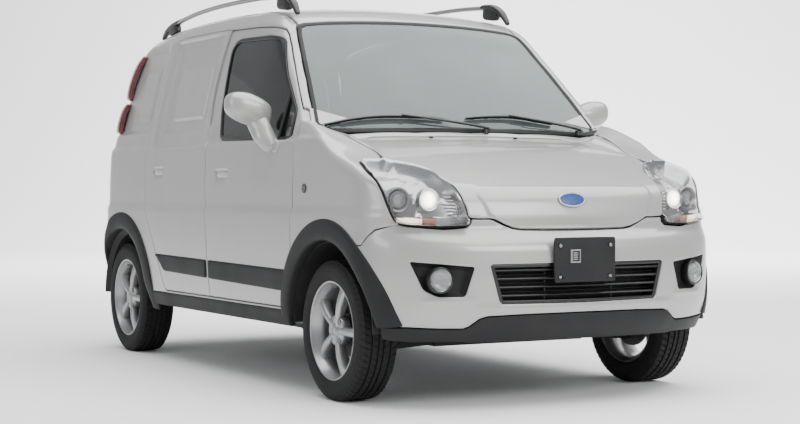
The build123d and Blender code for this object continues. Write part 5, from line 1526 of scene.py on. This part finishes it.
        def dished(p: Array) -> Array:
            """Steps of the chromed bowl: a shelf over the strip and a crest between the reflectors."""
            z = p[:, 2]
            return 26 * (1 - step(z, 694, 714)) + 16 * step(z, 842, 878) + 6 * band(p[:, 0], -626, -612, 6)
        bowl = panel(BODY, NOSE, self.lamp_loop(-7.5), (), 8,
                     ((14.0, 58.0), (9.0, 46.0), (3.0, 16.0), (0.5, 6.0), (0.0, 5.0), (-1.0, 6.0), (-1.0, 66.0),
                      (6.0, 70.0)), True, 0, dished, 9)
        both_sides("lamp_bowl", bowl, f.chrome, Ride.BODY, ["headlight_housings"])
        outer = lathe([(8, 0), (7, 14), (2, 24), (-3, 27), (-3, 29.5), (6, 31), (2, 33), (-9, 41), (-10, 44.5),
                       (-6, 46), (16, 46), (22, 0)], 56)
        inner = lathe([(26, 0), (25, 10), (18, 22), (8, 32), (-4, 39), (-6, 41), (-3, 43), (24, 42), (32, 0)], 56)
        p1 = from_front(BODY, [(-664, 770)])[0]
        p2 = from_front(BODY, [(-560, 770)])[0]
        socket = place(p1[0] + 4, p1[1] + 44, 772, (0, 0, 84))
        both_sides("lamp_projector", Shell().put(outer, socket), f.steel, Ride.BODY)
        pupil = lathe([(-9, 0), (-8, 9), (-4, 17), (2, 22), (8, 22), (8, 0)], 40)
        both_sides("lamp_pupil", Shell().put(pupil, socket), f.fluted, Ride.BODY)
        both_sides("lamp_reflector", Shell().put(inner, place(p2[0] + 2, p2[1] + 38, 771, (0, 0, 87))), f.chrome,
                   Ride.BODY)
        bulb = lathe([(-6, 0), (-5.6, 12), (-3, 24), (4, 33), (10, 34), (10, 0)], 40)
        for side, s in SIDES:
            x = (p2[0] + 2) * s
            glow = Glow(f"lit_lamp_{side}", (1.0, 0.96, 0.86), (x * MM, (p2[1] + 34) * MM, 0.771), 0.040, 9.0).make()
            lit = Shell().put(bulb, place(x, p2[1] + 38, 771, (0, 0, 87 if s > 0 else 93)))
            build(f"lamp_bulb_{side}", lit, glow, "body")
        blades = Shell()
        for k in range(6):
            b = from_front(BODY, [(-486 + k * 6 - 12, 792 - k * 13)])[0]
            blades.put(slab((26 + 2 * k, 5, 12), 3, 5), place(b[0], b[1] + 34, b[2], (28, 0, -30 + 6 * k)))
        both_sides("lamp_blades", blades, f.chrome, Ride.BODY)
        spans = (("lamp_strip_lit", -690, -606, True), ("lamp_strip_amber", -602, -556, False),
                 ("lamp_strip_clear", -552, -452, False))
        for name, x0, x1, lit in spans:
            loop = NOSE.locate(from_front(BODY, softened([(x0, 684), (x1, 679), (x1, 703), (x0 - 8, 707)], 5)))
            bar = panel(BODY, NOSE, loop, (), 12, ((3.0, 7.0), (0.5, 8.5), (0.0, 11.0), (0.0, 34.0)), True)
            if lit:
                for side, s, form in (("right", 1, bar), ("left", -1, bar.mirrored())):
                    mid = from_front(BODY, [((x0 + x1) / 2, 692)])[0] * (s, 1, 1)
                    glow = Glow(f"lit_strip_{side}", (1.0, 0.86, 0.68), tuple(mid * MM), 0.075, 2.2).make()
                    build(f"{name}_{side}", form, glow, "body")
            else:
                both_sides(name, bar, f.amber if "amber" in name else f.fluted, Ride.BODY)

    def make_bracket(self, f: Finish) -> None:
        """Blank number-plate bracket with its square boss, slots and screws."""
        loop = softened([(-136, -83), (136, -83), (136, 83), (-136, 83)], 9)

        def square(x: float, y: float, w: float, h: float) -> Array:
            """Small rounded slot."""
            return softened([(x - w, y - h), (x + w, y - h), (x + w, y + h), (x - w, y + h)], 1.5)
        a = np.linspace(0, 2 * math.pi, 16, endpoint=False)
        holes = [np.stack([x + 3.5 * np.cos(a), z + 3.5 * np.sin(a)], 1) for x in (-112, 112) for z in (54.5, -54.5)]
        sheet = Shell().put(plate(loop, 0, 5, 1.5, holes + [square(-108, -64, 10, 5), square(108, -64, 10, 5)]),
                            place(0, self.plate_y, 546.5, (90, 0, 0)))
        sheet.put(slab((272, 7, 8), 3.0, 7), place(0, self.plate_y, 626))
        for x in (-1, 1):
            sheet.put(slab((7, 7, 150), 3.0, 7), place(134 * x, self.plate_y, 546))
            sheet.put(slab((40, 34, 14), 4.0, 7), place(96 * x, self.plate_y + 18, 470))
        build("bracket_sheet", sheet, f.plastic, "body", ["plate_bracket"])
        boss = Shell().put(plate(square(0, 0, 23, 25), 0, 3.2, 1.2, [square(2, 0, 15, 19)]),
                           place(-45, self.plate_y - 5.5, 560, (90, 0, 0)))
        for k in range(4):
            boss.put(slab((24, 2.2, 5), 3, 5), place(-43, self.plate_y - 5.5, 548 + k * 8))
        build("bracket_boss", boss, f.steel, "body")
        screws = Shell()
        for x in (-112, 112):
            head = lathe([(-6, 0), (-6, 4), (-4.5, 6.5), (-1, 7), (-1, 0)], 20)
            screws.put(head, place(x, self.plate_y - 5, 600, (0, 0, 90)))
            screws.put(slab((13, 4, 11), 3.5, 6), place(x, self.plate_y - 6, 484))
        build("bracket_screws", screws, f.steel, "body")

    def make(self, f: Finish) -> None:
        """Builds the front end."""
        self.make_hood(f)
        self.make_bumper(f)
        self.make_lamps(f)
        self.make_bracket(f)


# ---------------------------------------------------------------- trim
@dataclass
class Trim:
    """Arch flares, sill covers, roof rails, wipers and side repeaters."""

    foot: float = 1.0

    def flare(self, centre: float, stop: float, form: BodyForm) -> Shell:
        """Arch flare: a rounded section carried round the wheel opening on the body's side.

        The section, as (radius, height over the body), runs from the inner lip, over the
        swelling and down to a thin outer edge. The lip turns straight in.
        """
        section = [(345, -34), (345, 2), (349, 9), (356, 12), (378, 12.5), (404, 10.5), (420, 8), (426, 5.5),
                   (428, 1.5), (428, -1.5), (404, -3), (372, -4), (356, -12), (353, -34)]
        a = np.radians(np.linspace(5, stop, 76))
        tails = np.linspace(0, self.foot, 7)[1:]
        rows = []
        for r, out in section:
            y = np.concatenate([centre + r * np.cos(a), np.full(6, centre + r * math.cos(a[-1]))])
            z = np.concatenate([AXLE_Z + r * np.sin(a), AXLE_Z + r * math.sin(a[-1]) - tails])
            base = from_side(form, np.stack([y, z], 1))
            rows.append(base + (np.array([-out, 0, 0]) if out < -20 else form.normals(base) * out))
        shell = Shell()
        size, count = len(rows[0]), len(rows)
        shell.add(np.concatenate(rows), grid_faces(count, size, True, False))
        first = np.arange(count) * size
        shell.faces += [tuple(first.tolist()), tuple((first + size - 1)[::-1].tolist())]
        return shell

    def sill(self) -> Shell:
        """Sill cover between the arches: a bar with a rolled upper edge."""
        loop = side_loop([(356, 262), (356, 327), (1903, 327), (1903, 262)], radius=6)
        rim = ((12.0, -8.0), (6.0, -7.4), (1.5, -5.0), (0.0, -1.0), (0.0, 16.0))
        return panel(BODY, FLANK, loop, (), 22, rim, True)

    def rail(self) -> tuple[Shell, Shell]:
        """Roof rail's silver bar, and its two black feet."""
        bar = curve([(fy(885), 1634), (fy(978), 1652), (fy(1107), 1662), (fy(1263), 1669), (fy(1500), 1673.5),
                     (fy(1700), 1674), (fy(1933), 1668), (fy(2135), 1654), (fy(2250), 1640)], 48)
        x = -522 - 8 * np.sin(np.linspace(0, math.pi, 48))
        path = np.concatenate([x[:, None], bar], 1)
        rod = tube(path, 10.5, 16, 1.35)
        feet = Shell()
        front = curve([(-529, fy(786), 1563), (-528, fy(810), 1592), (-527, fy(845), 1622), (-526, fy(892), 1644),
                       (-526, fy(960), 1655), (-526, fy(1000), 1658)], 22)
        feet.put(tube(front, np.interp(np.linspace(0, 1, 22), [0, .3, .7, 1], [9, 15, 15.5, 12.5]), 16, 1.25))
        feet.put(slab((38, 120, 62), 4.2, 9), place(-526, fy(925), 1622, (8, 0, 0)))
        back = curve([(-516, fy(2440), 1584), (-519, fy(2390), 1608), (-522, fy(2330), 1627), (-523, fy(2260), 1641),
                      (-523, fy(2180), 1651)], 20)
        feet.put(tube(back, np.interp(np.linspace(0, 1, 20), [0, .3, .7, 1], [9, 14, 14.5, 12]), 16, 1.25))
        feet.put(slab((36, 110, 44), 4.2, 9), place(-521, fy(2270), 1614, (-8, 0, 0)))
        return rod, feet

    def wiper(self, points: Sequence, pivot: Sequence[float], hold: float) -> Shell:
        """Wiper: blade on its spine, with claws, an arm and a capped pivot."""
        blade = curve([from_front(BODY, [(x, z)])[0] for x, z in points], 40)
        out = BODY.normals(blade)
        shell = Shell()
        shell.put(tube(blade + out * 7, 3.2, 8, 2.2))
        spine = np.interp(np.linspace(0, 1, 40), [0, .2, .5, .8, 1], [2.5, 4, 5.5, 4, 2.5])
        shell.put(tube(blade + out * 15, spine, 10, 1.7))
        for share in (0.14, 0.32, 0.5, 0.68, 0.86):
            k = int(share * 39)
            shell.put(slab((26, 9, 15), 3.0, 6), place(*(blade[k] + out[k] * 11), (35, 0, 0)))
        k = int(hold * 39)
        head = np.asarray(pivot, float)
        arm = curve([head, head + (0, -4, 16), (head + blade[k]) / 2 + out[k] * 26, blade[k] + out[k] * 22], 24)
        shell.put(tube(arm, np.interp(np.linspace(0, 1, 24), [0, .25, 1], [8, 6.5, 4.5]), 12, 1.5))
        shell.put(lathe([(-10, 0), (-10, 9), (-6, 12), (10, 13), (10, 0)], 26), place(*head, (0, 90, 0)))
        return shell

    def make(self, f: Finish) -> None:
        """Builds the trim."""
        both_sides("front_flare", self.flare(FRONT_Y, 174, BODY), f.plastic, Ride.BODY,
                   ["arch_flares"])
        both_sides("rear_flare", self.flare(REAR_Y, 185, BUMPER), f.plastic, Ride.BODY)
        both_sides("sill_cover", self.sill(), f.plastic, Ride.BODY, ["sill_covers"])
        rod, feet = self.rail()
        both_sides("rail_bar", rod, f.rail, Ride.BODY, ["roof_rails"])
        both_sides("rail_feet", feet, f.smooth_black, Ride.BODY)
        left = self.wiper([(-640, 1060), (-515, 1084), (-375, 1098), (-198, 1098), (-100, 1090)],
                          (82, fy(247), 1050), 0.62)
        right = self.wiper([(8, 1096), (120, 1104), (260, 1104), (440, 1080)], (560, fy(268), 1050), 0.6)
        build("wiper_pair", left.put(right), f.smooth_black, "body", ["wipers"])
        spot = from_side(BODY, run([(200, 814)]))[0]
        base = place(*spot)
        ring = lathe([(3, 0), (3, 17), (-2, 18.5), (-4, 17), (-4, 14), (-1, 13), (-1, 0)], 36)
        both_sides("repeater_ring", Shell().put(ring, base), f.smooth_black, Ride.BODY)
        lens = lathe([(-8, 0), (-7.6, 5), (-6, 10), (-3, 12.8), (0, 12.8), (0, 0)], 32)
        both_sides("repeater_lens", Shell().put(lens, base), f.fluted, Ride.BODY)


# ---------------------------------------------------------------- tail
@dataclass
class Tail:
    """Tailgate with its glass, tail lamps and the rear bumper."""

    def gate_loop(self, grow: float) -> Array:
        """Tailgate outline as a chart loop."""
        loop = STERN.locate(whole(from_rear(BODY, GATE)))
        return moved_in(softened(turned_ccw(loop), 10), -grow)

    def glass_loop(self, grow: float) -> Array:
        """Rear window outline as a chart loop."""
        half = [(0, 1098), (-480, 1098), (-540, 1108), (-560, 1140), (-520, 1330), (-486, 1424), (-440, 1448),
                (0, 1462)]
        loop = STERN.locate(whole(from_rear(BODY, half)))
        return moved_in(softened(turned_ccw(loop), 30), -grow)

    def gate_relief(self, p: Array) -> Array:
        """Plate recess and a waist crease."""
        x, z = np.abs(p[:, 0]), p[:, 2]
        return -16 * (1 - step(x, 262, 286)) * band(z, 772, 930, 12) + 6 * band(z, 1010, 1052, 14) * (
            1 - step(x, 520, 570))

    def bulge(self, p: Array) -> Array:
        """Domed tail lamp: two red swellings with a dip between them."""
        z = p[:, 2]
        upper = 1 - np.clip(((z - 1372) / 112) ** 2, 0, 1) ** 1.5
        lower = 1 - np.clip(((z - 1166) / 82) ** 2, 0, 1) ** 1.5
        return 3 + 15 * np.maximum(upper, lower)

    def make(self, f: Finish) -> None:
        """Builds the tail."""
        rim = ROLLED + ((10.0, 15.0), (12.0, 40.0))
        gate = panel(BODY, STERN, self.gate_loop(0), [self.glass_loop(0)], 12, rim, True, 0, self.gate_relief)
        build("tailgate_skin", gate, f.paint, "tailgate", ["tailgate"])
        pane = panel(BODY, STERN, self.glass_loop(-2), (), 26, ((2.0, 2.0), (0.5, 3.0), (0.0, 4.0), (0.0, 8.0)), True)
        build("tailgate_pane", pane, f.side_glass, "tailgate", ["tailgate_glass"])
        grip = Shell().put(slab((300, 18, 34), 4.0, 9), place(0, from_rear(BODY, [(0, 950)])[0][1] - 3, 956))
        build("tailgate_grip", grip, f.paint, "tailgate")
        for name, z0, z1 in (("upper", 1262, 1484), ("lower", 1092, 1246)):
            zs = np.linspace(z0, z1, 8)
            fore = from_side(BODY, run(np.stack([np.interp(zs, [1092, 1338, 1500], [2474, 2428, 2364]), zs], 1)))
            aft = from_rear(BODY, np.stack([np.interp(zs, [1092, 1270, 1500], [-656, -622, -552]), zs], 1)[::-1])
            loop = softened(turned_ccw(FLANK.locate(np.concatenate([fore, aft]))), 24)
            lamp = panel(BODY, FLANK, loop, (), 8, ((7.0, 0.0), (3.0, 2.0), (0.6, 5.5), (0.0, 9.0), (0.0, 20.0)),
                         True, 0, self.bulge)
            both_sides(f"tail_lamp_{name}", lamp, f.red_lens, Ride.BODY,
                       ["tail_lights"] if name == "upper" else [])
        top = from_rear(BUMPER, [(0, 602), (-400, 602), (-600, 602)])
        side = from_side(BUMPER, run([(2692, 600), (2688, 470), (2668, 412)]))
        arch = from_side(BUMPER, run(arc(WHEELBASE, 21, 4, 6) + [(2688, 296)]))
        low = from_rear(BUMPER, [(-640, 293), (-300, 291), (0, 291)])
        corner = from_rear(BUMPER, [(-690, 602)])
        half = np.concatenate([top, corner, side, arch, low])
        loop = softened(turned_ccw(whole(AFT.locate(half))), 8)
        bumper = panel(BUMPER, AFT, loop, (), 13, ROLLED, True)
        build("rear_bumper_skin", bumper, f.paint, "body", ["rear_bumper"])


# ---------------------------------------------------------------- wheels
@dataclass
class Wheels:
    """Alloy wheels with five spokes, and treaded tyres."""

    rim_r: float = 192.0
    tyre_r: float = 270.0
    width: float = 165.0
    spokes: int = 5
    bolts: int = 4
    blocks: int = 64
    grooves: tuple = ((-43, -35), (-14, -7), (7, 14), (35, 43))

    def spoke(self) -> Shell:
        """One spoke: a dished bar, narrow by the hub and flaring into the rim.

        Across its width the face is crowned; along its length it bows out from the hub and
        falls back to the rim. u runs along the spoke and v round its section.
        """
        u = np.linspace(0, 1, 22)
        v = np.linspace(0, 2 * math.pi, 21)[:-1]
        r = 26 + u * 146
        ends = 10 * np.clip((u - 0.84) / 0.16, 0, 1) ** 2 + 12 * np.clip((0.16 - u) / 0.16, 0, 1) ** 2
        half = 15 + 7 * u ** 1.6 + ends
        face = -60 - 9 * np.sin(u * math.pi * 0.85) + 8 * u ** 2
        thick = 15 + 10 * u
        cv, sv = np.cos(v), np.sin(v)
        wide = np.sign(cv) * np.abs(cv) ** 0.55
        deep = np.sign(sv) * np.abs(sv) ** 0.55
        x = (face + thick)[:, None] - deep[None, :] * thick[:, None] + 3.0 * (wide[None, :] ** 2) * (deep[None, :] > 0)
        y = half[:, None] * wide[None, :] * (1 + 0.1 * (deep[None, :] < 0))
        z = np.repeat(r[:, None], len(v), 1)
        shell = Shell()
        shell.add(np.stack([x, y, z], -1).reshape(-1, 3), grid_faces(22, 20, False, True))
        shell.faces.append(tuple(range(20))[::-1])
        shell.faces.append(tuple(range(21 * 20, 22 * 20)))
        return shell

    def alloy(self) -> Shell:
        """Wheel about the X axis with its face towards -X."""
        f, b = -self.width / 2 + 8, self.width / 2 - 8
        r = self.rim_r
        barrel = [(f, r), (f - 1.5, r - 3), (f, r - 8), (f + 6, r - 11), (f + 12, r - 13), (f + 24, r - 24),
                  (f + 60, r - 34), (b - 30, r - 28), (b - 14, r - 22), (b - 4, r - 10), (b, r - 4), (b, r), (b - 8, r),
                  (b - 10, r - 10), (b - 24, r - 18), (f + 62, r - 28), (f + 27, r - 17), (f + 12, r - 6), (f + 8, r)]
        wheel = lathe(barrel, 96, True)
        for k in range(self.spokes):
            wheel.put(self.spoke(), place(turn=(360 / self.spokes * k + 18, 0, 0)))
        hub = [(-64, 0), (-64, 20), (-62.5, 25), (-59, 27), (-58, 34), (-60, 50), (-57, 57), (-48, 62), (-20, 60),
               (-20, 0)]
        wheel.put(lathe(hub, 60))
        return wheel

    def fixings(self) -> Shell:
        """Four bolts in their wells, the hub cap's ring and the valve."""
        bolts = Shell()
        for k in range(self.bolts):
            a = math.radians(360 / self.bolts * k + 45)
            well = lathe([(-61.5, 8.6), (-62.5, 10.2), (-60.5, 11.5), (-56, 11.5), (-56, 8.6)], 20, True)
            head = lathe([(-61, 0), (-61, 5), (-59.5, 7.5), (-54, 8), (-54, 0)], 6)
            at = place(0, 50 * math.cos(a), 50 * math.sin(a))
            bolts.put(well, at)
            bolts.put(head, at)
        bolts.put(lathe([(-64.6, 15), (-65.4, 17.5), (-64.6, 20), (-62, 20), (-62, 15)], 40, True))
        bolts.put(lathe([(-76, 0), (-76, 2.6), (-70, 3), (-60, 3.4), (-60, 0)], 14), place(0, 0, 162))
        return bolts

    def tyre(self) -> Shell:
        """Tyre about the X axis: sidewalls with ribs, and a tread cut by grooves and slots.

        The radius is the section's, less the depth of four grooves round the tyre and of
        slanted slots that repeat round it.
        """
        w = self.width / 2
        side = [(-w + 14, 184), (-w + 8, 189), (-w + 5, 194), (-w + 2.5, 199), (-w + 1.5, 204), (-w, 214),
                (-w + 0.2, 226), (-w + 0.8, 229), (-w + 0.2, 231), (-w + 1.5, 240), (-w + 4.5, 250), (-w + 8, 257),
                (-w + 12.5, 262.5)]
        tread_x = np.concatenate([np.linspace(-w + 15, -46, 6), [-43.5, -42.5, -35.5, -34.5], np.linspace(-30, -16, 4),
                                  [-14.5, -13.5, -7.5, -6.5], [0.0]])
        tread_x = np.concatenate([tread_x, -tread_x[-2::-1]])
        count = self.blocks * 6
        a = np.linspace(0, 2 * math.pi, count, endpoint=False)
        xs = np.concatenate([[p[0] for p in side], tread_x, [-p[0] for p in side[::-1]], [w - 16, -w + 16]])
        crown = self.tyre_r - 6 * (np.abs(tread_x) / w) ** 4.5
        rs = np.concatenate([[p[1] for p in side], crown, [p[1] for p in side[::-1]], [187, 187]])
        groove = np.zeros(len(xs))
        for low, high in self.grooves:
            groove += 6.5 * ((xs > low) & (xs < high)) * (rs > 262)
        shoulder = (np.abs(xs) > 45) & (rs > 250)
        middle = (np.abs(xs) < 34) & (rs > 262)
        phase = (a[None, :] * self.blocks / (2 * math.pi) + np.abs(xs[:, None]) * 0.022) % 1.0
        slot = ((phase < 0.17) & shoulder[:, None]) | ((phase < 0.12) & middle[:, None])
        radius = rs[:, None] - groove[:, None] - slot * 4.5
        x = np.repeat(xs[:, None], count, 1)
        pts = np.stack([x, radius * np.cos(a), radius * np.sin(a)], -1).reshape(-1, 3)
        shell = Shell()
        shell.add(pts, grid_faces(len(xs), count, True, True))
        return shell

    def make(self, f: Finish) -> None:
        """Builds four wheels; each is placed by its CAD node's box."""
        alloy, tyre, bolts = self.alloy(), self.tyre(), self.fixings()
        for end, ride in (("front", Ride.FRONT_WHEEL), ("rear", Ride.REAR_WHEEL)):
            for side, s in SIDES:
                low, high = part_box(f"tyre_{end}_{side}")
                mid = (np.array(low) + np.array(high)) / 2 / MM
                at = place(*mid, scale=(s, 1, 1))
                body = ride.value.format(side)
                build(f"alloy_{end}_{side}", Shell().put(alloy, at), f.alloy, body, [f"wheel_{end}_{side}"])
                build(f"tread_{end}_{side}", Shell().put(tyre, at), f.rubber, body, [f"tyre_{end}_{side}"], 30)
                build(f"bolts_{end}_{side}", Shell().put(bolts, at), f.steel, body)


# ---------------------------------------------------------------- cabin and underbody
@dataclass
class Cabin:
    """Padded seats, and finishes for the CAD nodes that stay in sight."""

    seat_x: float = 330.0
    channels: int = 5

    def cushion(self, size: Sequence[float], axis: int) -> Shell:
        """Crowned pad: a superellipsoid with sewn channels across the face that looks along an axis."""
        shell = slab(size, 4.2, 29)
        pts = np.concatenate(shell.points)
        other, front = (1, 1) if axis == 2 else (2, -1)
        across = pts[:, other] / size[other]
        face = np.clip(pts[:, axis] * front / size[axis] * 2, 0, 1)
        wave = np.abs(np.sin(across * math.pi * self.channels)) ** 0.4
        reach = np.abs(pts[:, 0]) / size[0]
        push = (wave - 1) * 9 * (1 - step(reach, 0.30, 0.34)) - 7 * band(reach, 0.31, 0.34, 0.012)
        pts[:, axis] += push * face ** 3 * front
        made = Shell()
        made.add(pts, shell.faces)
        return made

    def make(self, f: Finish) -> None:
        """Builds the seats and dresses the CAD nodes."""
        for side, x in (("right", -self.seat_x), ("left", self.seat_x)):
            pad = Shell().put(self.cushion((470, 500, 150), 2), place(x, -30, 590, (4, 0, 0)))
            back = Shell().put(self.cushion((450, 120, 600), 1), place(x, 262, 905, (-14, 0, 0)))
            head = Shell().put(slab((250, 95, 150), 3.6, 19), place(x, 345, 1282, (-14, 0, 0)))
            for kind, shell in (("cushion", pad), ("back", back), ("headrest", head)):
                piece = build(f"seat_{kind}_{side}", shell, f.cloth, "body",
                              ["seats"] if (kind, side) == ("cushion", "right") else [])
            stand = Shell().put(slab((420, 440, 150), 6, 7), place(x, -20, 450))
            for post in (x - 50, x + 50):
                stand.put(tube(np.array([(post, 312, 1170), (post, 338, 1262)]), 6, 10))
            build(f"seat_base_{side}", stand, f.cabin, "body")
        dress = {"floor_pan": f.underbody, "rear_axle": f.underbody, "front_suspension": f.underbody,
                 "drive_motor": f.dark_metal, "battery_pack": f.battery, "knuckle_right": f.dark_metal,
                 "knuckle_left": f.dark_metal, "dashboard": f.cabin, "steering_wheel": f.cabin, "door_seals": f.seal}
        for node, material in dress.items():
            data = frame["nodes"][node].data
            data.materials.clear()
            data.materials.append(material)


# ---------------------------------------------------------------- studio
@dataclass
class Studio:
    """Pale floor, soft lights and the camera."""

    eye: tuple[float, float, float] = (-3.608, -6.924, 0.813)
    yaw: float = 28.364
    pitch: float = -0.797
    roll: float = -0.157
    lens: float = 76.48

    def lamp(self, name: str, at: Sequence[float], aim: Sequence[float], size: float, power: float,
             tall: Optional[float] = None) -> None:
        """Adds one area light that faces a point."""
        light = bpy.data.lights.new(name, "AREA")
        light.energy = power
        light.size = size
        if tall:
            light.shape, light.size_y = "RECTANGLE", tall
        holder = bpy.data.objects.new(name, light)
        holder.location = at
        holder.rotation_euler = (Vector(aim) - Vector(at)).to_track_quat("-Z", "Y").to_euler()
        bpy.context.scene.collection.objects.link(holder)

    def floor(self) -> None:
        """A wide sheet that rises behind the van in a smooth curve."""
        t = np.linspace(0, 1, 28)
        depth = np.concatenate([[-30.0], 14 + 10 * np.sin(t * math.pi / 2)])
        height = np.concatenate([[0.0], 10 * (1 - np.cos(t * math.pi / 2))])
        across = np.linspace(-34, 34, 5)
        xx, dd = np.meshgrid(across, depth, indexing="ij")
        hh = np.broadcast_to(height, xx.shape)
        turn = math.radians(-self.yaw)
        pts = np.stack([xx * math.cos(turn) - dd * math.sin(turn), xx * math.sin(turn) + dd * math.cos(turn), hh], -1)
        mesh = bpy.data.meshes.new("studio_floor")
        mesh.from_pydata(pts.reshape(-1, 3).tolist(), [], [f[::-1] for f in grid_faces(len(across), len(depth))])
        mesh.shade_smooth()
        n = Nodes("studio_white")
        n.set(Base_Color=n.mix(n.noise(0.3), (0.95, 0.95, 0.95), (0.93, 0.93, 0.93)), Roughness=0.9,
              Specular_IOR_Level=0.1)
        mesh.materials.append(n.material)
        sheet = bpy.data.objects.new("studio_floor", mesh)
        bpy.context.scene.collection.objects.link(sheet)

    def camera(self) -> None:
        """Adds the camera, aimed by yaw from straight ahead, pitch and roll."""
        data = bpy.data.cameras.new("view")
        data.lens, data.sensor_width = self.lens, 36.0
        data.clip_end = 200
        holder = bpy.data.objects.new("view", data)
        yaw, pitch = math.radians(self.yaw), math.radians(self.pitch)
        look = Vector((math.sin(yaw) * math.cos(pitch), math.cos(yaw) * math.cos(pitch), math.sin(pitch)))
        turn = look.to_track_quat("-Z", "Y").to_matrix().to_4x4()
        stand = turn @ Matrix.Rotation(math.radians(self.roll), 4, "Z")
        stand.translation = Vector(self.eye)
        holder.matrix_world = stand
        bpy.context.scene.collection.objects.link(holder)
        bpy.context.scene.camera = holder

    def make(self) -> None:
        """Builds the studio."""
        self.camera()
        self.floor()
        world = bpy.data.worlds.new("soft_white")
        world.use_nodes = True
        sky = world.node_tree.nodes["Background"]
        sky.inputs["Color"].default_value = (0.96, 0.98, 1.0, 1)
        sky.inputs["Strength"].default_value = 0.55
        bpy.context.scene.world = world
        self.lamp("overhead", (0.8, -0.8, 5.6), (0.2, -0.2, 0), 8.0, 900, 8.0)
        self.lamp("front_bank", (2.5, -9.0, 4.4), (0, -1, 0.6), 5.0, 420, 3.0)
        self.lamp("side_bank", (-9.0, -2.5, 3.6), (0, 0, 0.7), 4.0, 140, 3.0)
        for name, x in (("backdrop_near", 4.0), ("backdrop_far", 9.5)):
            self.lamp(name, (x, 7.5, 9.0), (x + 3.0, 15.0, 1.5), 9.0, 2600, 5.0)


def make_van(f: Finish) -> None:
    """Builds every sub-assembly in order."""
    for part in PARTS:
        part.make(f)
        LOG.info("%s done", type(part).__name__)


def main() -> None:
    """Builds the van's looks and its studio."""
    logging.basicConfig(level=logging.INFO, format="%(name)s: %(message)s")
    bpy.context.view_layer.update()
    Studio().make()
    make_van(Finish())


PARTS = (Doors(), Shellwork(), FrontEnd(), Trim(), Tail(), Wheels(), Cabin())

if __name__ == "__main__":
    main()
